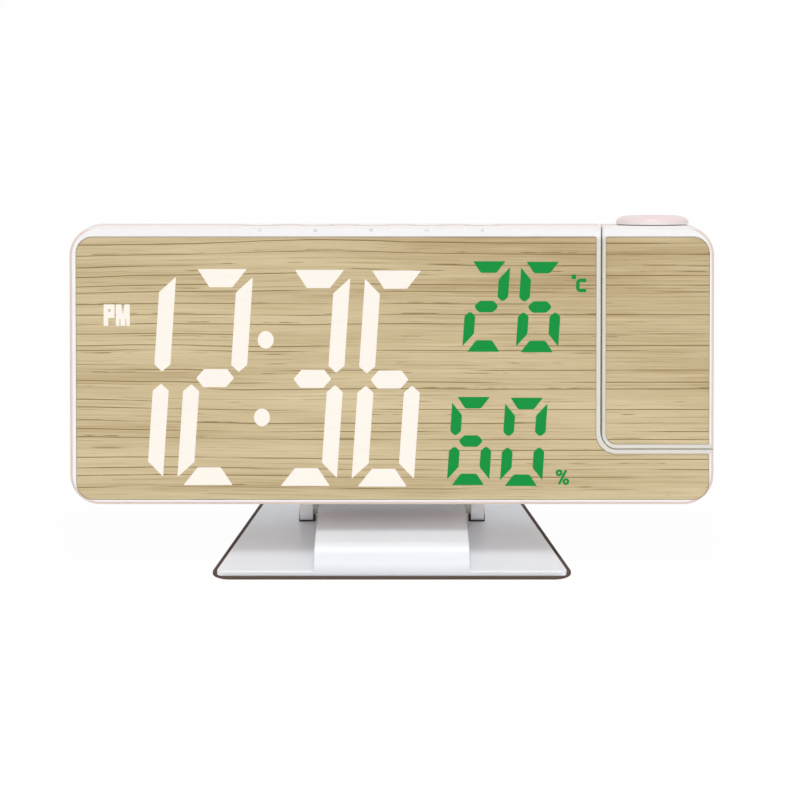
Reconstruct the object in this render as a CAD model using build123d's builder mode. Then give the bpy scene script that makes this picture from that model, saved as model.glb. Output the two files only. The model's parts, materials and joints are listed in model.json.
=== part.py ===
from build123d import *
import math
import os

os.makedirs("parts", exist_ok=True)

# Projection alarm clock on a tilting stand, in millimetres.
# World frame: origin at the middle of the stand's underside, +X to the clock's right as its reader
# sees it, +Y to the back, +Z up. The clock itself is modelled upright in its own frame, whose origin
# lies on the tilt hinge's axis, and is then leaned back about that axis.

# ---------------------------------------------------------------------------- driving dimensions
# casing
CASE_WIDTH = 190.0
CASE_HEIGHT = 82.2
CASE_DEPTH = 24.0
CASE_CORNER_R = 8.8
FRONT_EDGE_R = 0.8
REAR_EDGE_R = 2.5
WALL = 2.0
BEZEL = 1.4               # frame around the face at the right side and the bottom
BEZEL_LEFT = 1.9
BEZEL_TOP = 3.2           # frame above the face
SEAM_BEZEL = 1.35         # clock's frame along the projector seam
PANEL_T = 1.1             # wood-grain face panel
PANEL_SINK = 0.2          # panel's face below the frame's face
PANEL_CORNER_R = 5.0
PANEL_SEAM_R = 6.0        # inner corner of the L-shaped panel
PANEL_SEAM_CORNER_R = 0.6
FRONT_WALL = 1.5          # wall behind the panel
FIT = 0.1                 # clearance of a part laid in its recess

# stand and tilt hinge
PAD_T = 0.8
PAD_RIM_SIDE = 2.0        # pad beyond the plate at the slanted sides
PAD_RIM_END = 1.0         # and at the front and the rear
PAD_CORNER_R = 5.0
PAD_EDGE_R = 0.25
PLATE_T = 1.5
PLATE_FRONT_WIDTH = 103.6
PLATE_REAR_WIDTH = 72.6
PLATE_DEPTH = 66.8
PLATE_CORNER_R = 1.5
PLATE_EDGE_R = 0.4
ARM_FRONT_WIDTH = 45.6
ARM_REAR_WIDTH = 43.6
ARM_TOP = 9.2             # height of the arm's top above the table
ARM_ROLL_R = 6.2
ARM_WALL = 2.0
HINGE_Y = 10.5
HINGE_Z = 8.0
LEAN = 16.5               # backward lean of the clock as it stands
BARREL_R = 4.5
PIN_R = 1.75
PIN_FIT = 0.05            # running clearance around the hinge pin
PIN_SHORT = 0.5           # pin's end inside the lug's outer face
PIN_CHAMFER = 0.3
LUG_R = 6.2
LUG_T = 3.9
LUG_TOP = 14.0            # height of the lug's root on the rear cover
LUG_BITE = 1.2            # lug into the rear wall
LUG_FOOT_BITE = 1.4       # and into the bottom wall
WASHER_T = 1.9
WASHER_GAP = 0.05
WASHER_SMALLER = 0.3      # washer's rim inside the barrel's
SLOT_CLEAR_IN = 0.8       # slot beyond the lug towards the middle
SLOT_CLEAR_OUT = 0.3
SLOT_FRONT = 6.9
SLOT_REAR = 17.0
SLOT_CORNER_R = 0.5
HINGE_DROP = 1.0          # clock's underside above the hinge axis
HINGE_BACK = 6.8          # hinge axis behind the clock's back

# projector module and its swivel
MODULE_WIDTH = 33.1
MODULE_BASE = 17.6        # module's lower front edge
MODULE_CORNER_R = 4.7
MODULE_EDGE_R = 0.9       # edge along the seam
MODULE_WALL = 1.8
MODULE_BEZEL = 1.25       # module's own frame along the seam
MODULE_BEZEL_BASE = 1.2
MODULE_PANEL_R = 3.2
SEAM_GAP = 0.35
SWIVEL_RISE = 20.0        # swivel axis above the module's lower front edge
SHAFT_R = 4.0
SHAFT_BORE_R = 2.4
SHAFT_FLANGE_R = 7.0
SHAFT_FLANGE_T = 1.2
BUSH_T = 1.2
BUSH_FLANGE_R = 6.0
BUSH_FLANGE_T = 1.2
SHAFT_FIT = 0.05
SHAFT_SEAT_FIT = 0.02     # around the shaft where it is glued in the module
SHAFT_TAIL = 1.1          # shaft beyond its retaining ring
THRUST_WASHER_T = 0.85
RETAINING_RING_T = 0.9
RETAINING_RING_R = 5.6
GROOVE_DEPTH = 0.7
AXIAL_PLAY = 0.05

# focus and optics
DOME_R = 10.8
DOME_TOP_R = 7.9
DOME_H = 2.4
DOME_RIM_H = 0.5
DOME_DISH = 0.5           # crown's fall towards the lens
DOME_GAP = 0.25
NOTCH_R = 1.6
NOTCH_OUT = 0.3
NECK_R = 8.0
NECK_CLEAR = 0.3
COLLAR_R = 8.9
COLLAR_T = 1.0
CELL_R = 6.7
CELL_FIT = 0.1
CELL_LENGTH = 13.5
CELL_DROP = 1.0           # lens cell's rim below the dome's crown
FOCUS_TRAVEL = 1.8
LENS_R = 5.15
LENS_EDGE_T = 1.2
LENS_BULGE = 1.1
LENS_DEPTH = 4.0          # lens below the cell's rim
LENS_FIT = 0.05
LENS_LEDGE = 0.6          # ledge that the lens lies on
RETAINER_SINK = 1.0
RETAINER_T = 0.8
BARREL_WALL = 1.5
BARREL_SIDE_GAP = 0.3     # between the lens barrel and the screw boss beside it
BRACKET_WIDTH = 10.0
BRACKET_HEIGHT = 6.0
GUIDE_PIN_R = 0.8
GUIDE_LENGTH = 1.2
GUIDE_ROOT = 0.1
GUIDE_RISE = 3.0          # guide pin above the cell's lower rim
LAMP_RISE = 9.05          # lamp's underside above the swivel axis
LAMP_WIDTH = 18.0
LAMP_HEIGHT = 10.0
CONDENSER_R = 5.9
CONDENSER_FIT = 0.05
CONDENSER_EDGE = 1.0
CONDENSER_BULGE = 2.5
CONDENSER_LEDGE = 0.9
CONDENSER_RISE = 2.6
LCD_SIZE = 13.0
LCD_T = 1.2
LAMP_BOARD_SIZE = 14.0
LAMP_BOARD_T = 1.2
LAMP_LED_SIZE = 3.5
LAMP_LED_T = 0.9
LEAD_R = 0.75
LEAD_BEND_R = 6.0
LEAD_MEET_INSET = 1.55    # where the lead's halves meet, inside the clock's seam wall
BOARD_LEAD_LENGTH = 11.0
LEAD_SOCKET_LENGTH = 6.0
LEAD_SOCKET_HEIGHT = 7.0

# display
REFLECTOR_T = 3.8
REFLECTOR_LIP = 0.8       # reflector's flange beyond the window
WINDOW_INSET_LEFT = 8.6   # window inside the casing's left side
WINDOW_INSET_RIGHT = 1.65 # and inside the wall along the seam
WINDOW_INSET_BASE = 4.0
WINDOW_INSET_TOP = 9.6
WINDOW_CORNER_R = 1.0
DIFFUSER_T = 1.4
BOARD_T = 1.6
BOARD_INSET = 0.3
LED_LENGTH = 2.0
LED_WIDTH = 1.25
LED_T = 0.7
SENSOR_WIDTH = 6.0
SENSOR_HEIGHT = 5.0
SENSOR_T = 3.0
SENSOR_HOLE_R = 0.5
SENSOR_HOLE_PITCH = 1.8
PIVOT_ROOM = 1.0          # board's cut-out beyond the pivot bush
PIVOT_ROOM_X = 5.0        # and inside the wall along the seam
BAR_FIT = 0.1
THREAD_FIT = 0.05
SLANT = 3.8               # lean of the digits, in degrees
DRAWN_FOR = ((-14.25, 39.3), (144.3, 68.6))   # middle and size of the window the display is drawn for
TIME_Z = 37.95
TIME_X = (-74.7, -52.15, -23.5, -0.85)
COLON_DOTS = ((-37.2, 49.6), (-38.35, 26.7))
COLON_R = 2.45
TEMPERATURE_Z = 59.4
TEMPERATURE_X = (27.85, 43.6)
HUMIDITY_Z = 19.6
HUMIDITY_X = (23.3, 39.0)
MARKS = ((-81.15, 56.9, 8.4, 7.0), (54.9, 66.0, 5.4, 7.0), (50.4, 8.95, 4.4, 5.6))   # x, z, wide, high
BOARD_SCREWS = ((-38.6, 8.6), (-36.4, 67.4), (12.4, 8.6), (16.6, 67.4))

# keys
KEY_X = (-38.9, -22.5, -6.1, 10.3, 26.7)
KEY_SETBACK = 7.0         # key's middle behind the casing's front
KEY_LENGTH = 10.0
KEY_WIDTH = 5.2
KEY_PROUD = 0.4
KEY_EDGE_R = 0.35
KEY_CLEAR = 0.3
KEY_FLANGE = 1.0          # flange beyond the key's cap
KEY_FLANGE_T = 0.9
KEY_TRAVEL = 0.6
KEY_STEM_R = 1.2
STEM_ENTRY = 1.0          # key's stem inside its switch at rest
SWITCH_SIZE = 6.0
SWITCH_H = 2.2
KEY_BOARD_T = 1.0
KEY_BOARD_DEPTH = 8.0
KEY_BOARD_SHIFT = 0.4     # board's middle behind the keys'
KEY_BOARD_MARGIN = 14.0
KEY_BOSS_MARGIN = 11.0
KEY_BOSS_R = 2.2

# fasteners, supply and sound
BOSS_R = 3.0
BOSS_BITE = 0.3           # boss into the side wall
SEAM_BOSS_BITE = 0.1
TOP_BOSS_BITE = 0.6
FOOT_BOSS_INSET = 7.0     # boss under the projector, inside the right side
FOOT_BOSS_BITE = 0.2
SCREW_R = 0.85
SCREW_PILOT_R = 0.9
SCREW_CLEAR_R = 1.3
SCREW_HEAD_R = 2.0
SCREW_HEAD_T = 1.4
SCREW_HEAD_ROOM = 0.4
SCREW_SINK = 5.0          # screw head's seat below the rear face
SCREW_LENGTH = 14.0
MODULE_SCREW_LENGTH = 12.0
MODULE_BOSS_BITE = 0.2
MODULE_BOSS_DROP = 3.6    # lower boss below the swivel axis
SEAM_SIDE_BOSS_BITE = 1.1
SEAM_SIDE_BOSS_DROP = 18.0
SHORT_SCREW_LENGTH = 5.0
SMALL_SCREW_R = 0.7
SMALL_HEAD_R = 1.6
SMALL_HEAD_T = 1.0
HEAD_SINK = 0.1
CELL_DIAMETER = 20.0
CELL_CHAMFER = 0.5
SPRING_T = 0.5
SPRING_R = 4.5
SPRING_HOLE_R = 2.0
SPRING_ARM = 2.4
SPRING_SHORT = 2.0        # spring's arms together shorter than the cell is wide
CLIP_T = 0.5
CLIP_WIDTH = 6.0
CELL_T = 3.2
WELL_CLEAR = 1.3
WELL_WALL = 1.3
WELL_DEPTH = 6.9
WELL_X = -22.0
WELL_Z = 46.0
DOOR_WIDTH = 27.0
DOOR_HEIGHT = 37.0
DOOR_T = 1.5
DOOR_R = 3.0
DOOR_FIT = 0.2
DOOR_RIB_R = 6.0
DOOR_RIB_WALL = 1.2
SPEAKER_R = 14.0
SPEAKER_RIM = 1.5
SPEAKER_DEPTH = 8.7
MAGNET_R = 8.0
MAGNET_WALL = 1.5
MAGNET_FLOOR = 5.2
BASKET_DEPTH = 4.6
CONE_RIM = 1.5            # cone's seat inside the speaker's rim
CONE_FIT = 0.1
CONE_RISE = 0.4           # cone's rim behind the grille
CONE_RIM_T = 0.5
CONE_T = 0.6
CONE_DEPTH = 2.8
CAP_R = 4.0
CAP_RISE = 0.6
SPEAKER_X = 22.0
SPEAKER_Z = 42.0
GRILLE_R = 11.0
GRILLE_HOLE_R = 0.9
GRILLE_PITCH = 3.0
USB_WIDTH = 13.2
USB_HEIGHT = 5.8
USB_LENGTH = 13.8
USB_X = -56.0
INLET_WIDTH = 9.0
INLET_HEIGHT = 3.2
INLET_LENGTH = 8.0
INLET_X = -36.0
SOCKET_Z = 14.0
SOCKET_SHEET = 0.35
SOCKET_SINK = 0.4         # socket's mouth below the rear face
SOCKET_CLEAR = 0.3
SOCKET_MOUTH_R = 0.6
USB_SHELL_R = 0.5
USB_PLUG_T = 1.0
USB_TONGUE_T = 1.9
USB_TONGUE_RISE = 1.1
USB_TONGUE_NARROWER = 2.1
USB_TONGUE_SINK = 1.2
INLET_TONGUE_T = 0.7
INLET_TONGUE_NARROWER = 2.3
INLET_TONGUE_SINK = 1.0
VENT_LEFT = -80.0
VENT_Z = 14.0
VENT_PITCH = 3.0
VENT_LENGTH = 9.0
VENT_WIDTH = 1.3

# ---------------------------------------------------------------------------- derived places
BACK_Y = -HINGE_BACK
FRONT_Y = BACK_Y - CASE_DEPTH
MID_Y = (FRONT_Y + BACK_Y) / 2
BASE_Z = HINGE_DROP
TOP_Z = BASE_Z + CASE_HEIGHT
MIDDLE_Z = (BASE_Z + TOP_Z) / 2
HALF_WIDTH = CASE_WIDTH / 2
HALF_DEPTH = CASE_DEPTH / 2
PANEL_FRONT_Y = FRONT_Y + PANEL_SINK
PANEL_BACK_Y = PANEL_FRONT_Y + PANEL_T
ROOM_FRONT_Y = PANEL_BACK_Y + FRONT_WALL
ROOM_BACK_Y = BACK_Y - WALL
ROOM_TOP_Z = TOP_Z - WALL
ROOM_BASE_Z = BASE_Z + WALL

MODULE_LEFT = HALF_WIDTH - MODULE_WIDTH
SWIVEL_Z = MODULE_BASE + SWIVEL_RISE
TUB_R = math.hypot(HALF_DEPTH, SWIVEL_RISE)
TUB_SIDE_R = math.hypot(HALF_DEPTH, SWIVEL_RISE - MODULE_CORNER_R)
SPACE_RIGHT = HALF_WIDTH + WALL
SWIVEL_AXIS = Axis((0, MID_Y, SWIVEL_Z), (1, 0, 0))
SEAM_X = MODULE_LEFT - SEAM_GAP
SEAM_Z = SWIVEL_Z - math.sqrt((TUB_R + SEAM_GAP) ** 2 - HALF_DEPTH ** 2)
INNER_WALL_X = SEAM_X - WALL
MODULE_ROOM_X = MODULE_LEFT + MODULE_WALL
BORE_R = CELL_R + CELL_FIT
OPTICS_X = MODULE_ROOM_X + 2 * BOSS_R - SEAM_SIDE_BOSS_BITE + BARREL_SIDE_GAP + BORE_R + BARREL_WALL
MODULE_BACK_Y = BACK_Y - MODULE_WALL

WINDOW_LEFT = -HALF_WIDTH + WINDOW_INSET_LEFT
WINDOW_RIGHT = INNER_WALL_X - WINDOW_INSET_RIGHT
WINDOW_BASE = BASE_Z + WINDOW_INSET_BASE
WINDOW_TOP = TOP_Z - WINDOW_INSET_TOP
WINDOW_X = (WINDOW_LEFT + WINDOW_RIGHT) / 2
WINDOW_Z = (WINDOW_BASE + WINDOW_TOP) / 2
WINDOW_WIDTH = WINDOW_RIGHT - WINDOW_LEFT
WINDOW_HEIGHT = WINDOW_TOP - WINDOW_BASE
(DRAWN_X, DRAWN_Z), (drawn_across, drawn_upward) = DRAWN_FOR
ACROSS = WINDOW_WIDTH / drawn_across
UPWARD = WINDOW_HEIGHT / drawn_upward

LUG_X = ARM_REAR_WIDTH / 2 + WASHER_T + WASHER_GAP
PLATE_TOP = PAD_T + PLATE_T
BODY_PLACE = Location((0, HINGE_Y, HINGE_Z), (-LEAN, 0, 0))
OPTICS_AXIS = Axis((OPTICS_X, MID_Y, 0), (0, 0, 1))
OPTICS_PLANE = Plane(origin=(OPTICS_X, MID_Y, 0), x_dir=(1, 0, 0), z_dir=(0, -1, 0))
SHAFT_PLANE = Plane(origin=(0, MID_Y, SWIVEL_Z), x_dir=(1, 0, 0), z_dir=(0, -1, 0))


def front_plane(y):
    """Plane across the clock at depth y: sketch x is X, sketch y is Z, extrusions run to the front."""
    return Plane.XZ.offset(-y)


def to_window(x, z):
    """Place in the window of a point of the drawn display."""
    return (WINDOW_X + (x - DRAWN_X) * ACROSS, WINDOW_Z + (z - DRAWN_Z) * UPWARD)


def keep(builder, name, place=BODY_PLACE):
    """Put a finished piece where it belongs and write it as its own STEP file."""
    piece = builder.part.moved(place)
    piece.label = name
    export_step(piece, f"parts/{name}.step")


# ---------------------------------------------------------------------------- shared forms
def casing():
    """Outer block of the whole clock, rounded at its corners and its front and rear edges."""
    with BuildPart() as block:
        with BuildSketch(front_plane(BACK_Y)):
            with Locations((0, MIDDLE_Z)):
                RectangleRounded(CASE_WIDTH, CASE_HEIGHT, CASE_CORNER_R)
        extrude(amount=CASE_DEPTH)
        fillet(block.faces().sort_by(Axis.Y)[0].edges(), FRONT_EDGE_R)
        fillet(block.faces().sort_by(Axis.Y)[-1].edges(), REAR_EDGE_R)
    return block.part


def swivel_space(grow):
    """Room of the projector module, grown by `grow`: a tub turned about the swivel axis, and the
    block above the axis. Below the axis every surface is round about it, so the module can turn."""
    left = MODULE_LEFT - grow
    corner_x = MODULE_LEFT + MODULE_CORNER_R
    diagonal = math.sqrt(0.5)
    corner_mid = (corner_x - (MODULE_CORNER_R + grow) * diagonal,
                  TUB_SIDE_R + (TUB_R - TUB_SIDE_R + grow) * diagonal)
    with BuildPart() as space:
        with BuildSketch(SHAFT_PLANE):
            with BuildLine():
                Line((left, 0), (left, TUB_SIDE_R))
                ThreePointArc((left, TUB_SIDE_R), corner_mid, (corner_x, TUB_R + grow))
                Line((corner_x, TUB_R + grow), (SPACE_RIGHT, TUB_R + grow))
                Line((SPACE_RIGHT, TUB_R + grow), (SPACE_RIGHT, 0))
                Line((SPACE_RIGHT, 0), (left, 0))
            make_face()
        revolve(axis=SWIVEL_AXIS)
        with Locations(((left + SPACE_RIGHT) / 2, MID_Y, SWIVEL_Z + CASE_HEIGHT / 2)):
            Box(SPACE_RIGHT - left, 3 * CASE_DEPTH, CASE_HEIGHT)
    return space.part


def inner_block(wall, front, back):
    """The casing's outline brought in by one wall, between two depths."""
    with BuildPart() as block:
        with BuildSketch(front_plane(back)):
            with Locations((0, MIDDLE_Z)):
                RectangleRounded(CASE_WIDTH - 2 * wall, CASE_HEIGHT - 2 * wall, CASE_CORNER_R - wall)
        extrude(amount=back - front)
    return block.part


def clock_room():
    """Hollow of the clock's casing."""
    with BuildPart() as room:
        add(inner_block(WALL, ROOM_FRONT_Y, ROOM_BACK_Y))
        add(swivel_space(SEAM_GAP + WALL), mode=Mode.SUBTRACT)
    return room.part


def face_shape(grow):
    """L-shaped outline of the wood-grain face, grown by `grow`."""
    left = -HALF_WIDTH + BEZEL_LEFT - grow
    right = HALF_WIDTH - BEZEL + grow
    base = BASE_Z + BEZEL - grow
    top = TOP_Z - BEZEL_TOP + grow
    seam_x = SEAM_X - SEAM_BEZEL + grow
    seam_z = SEAM_Z - SEAM_BEZEL + grow
    with BuildSketch(Plane.XY) as shape:
        with BuildLine():
            FilletPolyline((left, base), (right, base), (right, seam_z), (seam_x, seam_z), (seam_x, top),
                           (left, top), radius=[PANEL_CORNER_R, PANEL_CORNER_R, PANEL_SEAM_CORNER_R,
                                                PANEL_SEAM_R, PANEL_SEAM_CORNER_R, PANEL_CORNER_R],
                           close=True)
        make_face()
    return shape.sketch


def module_face_shape(grow):
    """Outline of the module's own wood-grain face, grown by `grow`."""
    left = MODULE_LEFT + MODULE_BEZEL - grow
    right = HALF_WIDTH - BEZEL + grow
    base = MODULE_BASE + MODULE_BEZEL_BASE - grow
    top = TOP_Z - BEZEL_TOP + grow
    with BuildSketch(Plane.XY) as shape:
        with BuildLine():
            FilletPolyline((left, base), (right, base), (right, top), (left, top),
                           radius=[MODULE_PANEL_R, PANEL_SEAM_CORNER_R, PANEL_CORNER_R,
                                   PANEL_SEAM_CORNER_R], close=True)
        make_face()
    return shape.sketch


def plate_outline(grow_side, grow_end, corner_r):
    """Trapezoid of the stand, grown at its slanted sides and at its front and rear."""
    half_depth = PLATE_DEPTH / 2 + grow_end
    taper = (PLATE_FRONT_WIDTH - PLATE_REAR_WIDTH) / 2 / PLATE_DEPTH
    side = grow_side * math.sqrt(1 + taper ** 2)
    front = PLATE_FRONT_WIDTH / 2 + side + grow_end * taper
    rear = PLATE_REAR_WIDTH / 2 + side - grow_end * taper
    with BuildSketch(Plane.XY) as outline:
        with BuildLine():
            FilletPolyline((-front, -half_depth), (front, -half_depth), (rear, half_depth),
                           (-rear, half_depth), radius=corner_r, close=True)
        make_face()
    return outline.sketch


class DigitStyle:
    """Proportions of a seven-segment digit, measured from the middle of its middle bar."""

    def __init__(self, half_height, outer, stroke, bar, top_cut, top_cut_in, side_cut, side_cut_in,
                 tip, tip_slope, middle, middle_flat):
        self.half_height = half_height      # middle to the top edge
        self.outer = outer                  # middle to the outer edge of an upright
        self.stroke = stroke                # width of an upright
        self.bar = bar                      # height of a level bar
        self.top_cut = top_cut              # end of the top bar short of the outer edge
        self.top_cut_in = top_cut_in        # and of its lower edge short of the upright's inner edge
        self.side_cut = side_cut            # upright's outer end below the top edge
        self.side_cut_in = side_cut_in      # and its inner end below the top bar
        self.tip = tip                      # upright's point above the middle
        self.tip_slope = tip_slope
        self.middle = middle                # half length of the middle bar
        self.middle_flat = middle_flat      # half length of its level edges


TIME_STYLE = DigitStyle(32.0, 9.2, 4.7, 5.2, 2.1, 1.2, 2.95, 1.7, 1.8, 2.1, 5.6, 3.4)
CLIMATE_STYLE = DigitStyle(13.5, 6.2, 3.05, 3.4, 1.3, 1.15, 1.85, 2.1, 1.6, 0.9, 3.4, 1.85)


def digit_bars(style, x, z):
    """Outlines of a digit's seven bars about (x, z), with the upper left upright last."""
    high = style.half_height
    inner = style.outer - style.stroke
    column = style.outer - style.stroke / 2
    shoulder = style.tip + style.tip_slope
    top = [(-(style.outer - style.top_cut), high), (style.outer - style.top_cut, high),
           (inner - style.top_cut_in, high - style.bar), (-(inner - style.top_cut_in), high - style.bar)]
    upright = [(style.outer, high - style.side_cut), (inner, high - style.bar - style.side_cut_in),
               (inner, shoulder), (column, style.tip), (style.outer, shoulder)]
    middle = [(-style.middle, 0), (-style.middle_flat, style.bar / 2), (style.middle_flat, style.bar / 2),
              (style.middle, 0), (style.middle_flat, -style.bar / 2), (-style.middle_flat, -style.bar / 2)]
    bars = [top, upright, [(u, -w) for u, w in upright], [(u, -w) for u, w in top],
            [(-u, -w) for u, w in upright], middle, [(-u, w) for u, w in upright]]
    lean = math.tan(math.radians(SLANT))
    return [[to_window(x + u + w * lean, z + w) for u, w in bar] for bar in bars]


def bar_middle(bar):
    """Mean of a bar's points."""
    return (sum(u for u, _ in bar) / len(bar), sum(w for _, w in bar) / len(bar))


# the first digit shows 1 or 2, so it has no upper left bar
*TIME_BARS, upper_left = digit_bars(TIME_STYLE, TIME_X[0], TIME_Z)
TIME_BARS += [bar for x in TIME_X[1:] for bar in digit_bars(TIME_STYLE, x, TIME_Z)]
CLIMATE_BARS = [bar for x in TEMPERATURE_X for bar in digit_bars(CLIMATE_STYLE, x, TEMPERATURE_Z)]
CLIMATE_BARS += [bar for x in HUMIDITY_X for bar in digit_bars(CLIMATE_STYLE, x, HUMIDITY_Z)]
DOT_SPOTS = [to_window(x, z) for x, z in COLON_DOTS]
MARK_WINDOWS = [(*to_window(x, z), wide * ACROSS, high * UPWARD) for x, z, wide, high in MARKS]
BOARD_SCREW_SPOTS = [to_window(x, z) for x, z in BOARD_SCREWS]


def bar_sketch(bars, shrink=0.0):
    """Filled outlines of bars, brought in by `shrink`."""
    with BuildSketch(Plane.XY) as sketch:
        for bar in bars:
            with BuildLine():
                Polyline(*bar, close=True)
            make_face()
        if shrink:
            offset(amount=-shrink, kind=Kind.INTERSECTION)
    return sketch.sketch


def screw(radius, length, head_r, head_t):
    """Pan-head screw pointing to -Z with its head's seat at z = 0 and a cross recess on top."""
    with BuildPart() as part:
        with Locations((0, 0, -length / 2)):
            Cylinder(radius, length)
        with Locations((0, 0, head_t / 2)):
            Cylinder(head_r, head_t)
        fillet(part.faces().sort_by(Axis.Z)[-1].edges(), head_t * 0.35)
        with Locations((0, 0, head_t)):
            Box(head_r * 1.1, head_r * 0.3, head_t, mode=Mode.SUBTRACT)
            Box(head_r * 0.3, head_r * 1.1, head_t, mode=Mode.SUBTRACT)
    return part.part


def screws(name, places, turn, size):
    """Write a group of identical screws, each at its own point."""
    one = screw(*size)
    with BuildPart() as group:
        for place in places:
            add(one.moved(Location(place, turn)))
    keep(group, name)


# ---------------------------------------------------------------------------- stand
with BuildPart() as stand_pad:
    with BuildSketch(Plane.XY):
        add(plate_outline(PAD_RIM_SIDE, PAD_RIM_END, PAD_CORNER_R))
    extrude(amount=PAD_T)
    fillet(stand_pad.edges().group_by(Axis.Z)[-1], PAD_EDGE_R)
keep(stand_pad, "stand_pad", Location())

ARM_FRONT_Y = -PLATE_DEPTH / 2
with BuildPart() as arm:
    # side view: up the front edge, over the roll, back to the hinge barrel
    with BuildSketch(Plane.YZ):
        with BuildLine():
            Line((ARM_FRONT_Y, PAD_T), (ARM_FRONT_Y, ARM_TOP - ARM_ROLL_R))
            RadiusArc((ARM_FRONT_Y, ARM_TOP - ARM_ROLL_R), (ARM_FRONT_Y + ARM_ROLL_R, ARM_TOP), ARM_ROLL_R)
            Line((ARM_FRONT_Y + ARM_ROLL_R, ARM_TOP), (HINGE_Y, ARM_TOP))
            Line((HINGE_Y, ARM_TOP), (HINGE_Y, HINGE_Z))
            Line((HINGE_Y, HINGE_Z), (HINGE_Y + BARREL_R, HINGE_Z))
            Line((HINGE_Y + BARREL_R, HINGE_Z), (HINGE_Y + BARREL_R, PAD_T))
            Line((HINGE_Y + BARREL_R, PAD_T), (ARM_FRONT_Y, PAD_T))
        make_face()
        with Locations((HINGE_Y, HINGE_Z)):
            Circle(BARREL_R)
    extrude(amount=ARM_FRONT_WIDTH, both=True)
    # top view: tapered sides up to the barrel
    with BuildSketch(Plane.XY):
        with BuildLine():
            Polyline((-ARM_FRONT_WIDTH / 2, ARM_FRONT_Y), (ARM_FRONT_WIDTH / 2, ARM_FRONT_Y),
                     (ARM_REAR_WIDTH / 2, SLOT_FRONT), (ARM_REAR_WIDTH / 2, HINGE_Y + BARREL_R),
                     (-ARM_REAR_WIDTH / 2, HINGE_Y + BARREL_R), (-ARM_REAR_WIDTH / 2, SLOT_FRONT), close=True)
        make_face()
    extrude(amount=2 * HINGE_Z + ARM_TOP, mode=Mode.INTERSECT)

with BuildPart() as stand_bracket:
    with BuildSketch(Plane.XY.offset(PAD_T)):
        add(plate_outline(0, 0, PLATE_CORNER_R))
    extrude(amount=PLATE_T)
    fillet(stand_bracket.edges().group_by(Axis.Z)[-1], PLATE_EDGE_R)
    add(arm.part)
    # hollow under the arm, open to the pad
    with BuildSketch(Plane.YZ):
        with BuildLine():
            inner_front = ARM_FRONT_Y + ARM_WALL
            inner_roll = ARM_ROLL_R - ARM_WALL
            inner_top = ARM_TOP - ARM_WALL
            inner_back = HINGE_Y - BARREL_R - ARM_WALL / 2
            Line((inner_front, PAD_T), (inner_front, inner_top - inner_roll))
            RadiusArc((inner_front, inner_top - inner_roll), (inner_front + inner_roll, inner_top),
                      inner_roll)
            Line((inner_front + inner_roll, inner_top), (inner_back, inner_top))
            Line((inner_back, inner_top), (inner_back, PAD_T))
            Line((inner_back, PAD_T), (inner_front, PAD_T))
        make_face()
    extrude(amount=ARM_REAR_WIDTH / 2 - ARM_WALL, both=True, mode=Mode.SUBTRACT)
    # slots for the hinge lugs
    slot_in = LUG_X - SLOT_CLEAR_IN
    slot_out = LUG_X + LUG_T + SLOT_CLEAR_OUT
    with BuildSketch(Plane.XY.offset(PAD_T)):
        for side in (-1, 1):
            with Locations((side * (slot_in + slot_out) / 2, (SLOT_FRONT + SLOT_REAR) / 2)):
                RectangleRounded(slot_out - slot_in, SLOT_REAR - SLOT_FRONT, SLOT_CORNER_R)
    extrude(amount=PLATE_T, mode=Mode.SUBTRACT)
    # bore of the hinge barrel
    with Locations(Location((0, HINGE_Y, HINGE_Z), (0, 90, 0))):
        Cylinder(PIN_R + PIN_FIT, 2 * ARM_FRONT_WIDTH, mode=Mode.SUBTRACT)
keep(stand_bracket, "stand_bracket", Location())

# ---------------------------------------------------------------------------- tilt hinge
PIN_END = LUG_X + LUG_T - PIN_SHORT
with BuildPart() as hinge_pin:
    with Locations(Location((0, 0, 0), (0, 90, 0))):
        Cylinder(PIN_R, 2 * PIN_END)
    chamfer(hinge_pin.edges().filter_by(GeomType.CIRCLE), PIN_CHAMFER)
keep(hinge_pin, "hinge_pin")

with BuildPart() as friction_washers:
    for side in (-1, 1):
        with Locations(Location((side * (LUG_X - WASHER_T / 2), 0, 0), (0, 90, 0))):
            Cylinder(BARREL_R - WASHER_SMALLER, WASHER_T)
            Cylinder(PIN_R + PIN_FIT, WASHER_T, mode=Mode.SUBTRACT)
keep(friction_washers, "friction_washers")

# ---------------------------------------------------------------------------- casing
boss_left_x = -HALF_WIDTH + WALL + BOSS_R - BOSS_BITE
BOSSES = ((boss_left_x, ROOM_BASE_Z + BOSS_R), (boss_left_x, ROOM_TOP_Z - BOSS_R),
          (INNER_WALL_X - BOSS_R + SEAM_BOSS_BITE, ROOM_TOP_Z - BOSS_R + TOP_BOSS_BITE),
          (HALF_WIDTH - FOOT_BOSS_INSET, ROOM_BASE_Z + BOSS_R - FOOT_BOSS_BITE))
KEY_Y = FRONT_Y + KEY_SETBACK
KEY_FLANGE_TOP = ROOM_TOP_Z - KEY_CLEAR
KEY_BOARD_Z = KEY_FLANGE_TOP - KEY_FLANGE_T - KEY_TRAVEL - SWITCH_H - KEY_BOARD_T - KEY_CLEAR
KEY_BOSS_Y = KEY_Y + KEY_BOSS_R
KEY_BOSSES = (KEY_X[0] - KEY_BOSS_MARGIN, KEY_X[-1] + KEY_BOSS_MARGIN)
REFLECTOR_FRONT_Y = PANEL_BACK_Y + FIT
REFLECTOR_BACK_Y = REFLECTOR_FRONT_Y + REFLECTOR_T
BOARD_FRONT_Y = REFLECTOR_BACK_Y + FIT
BOARD_BACK_Y = BOARD_FRONT_Y + BOARD_T

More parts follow.
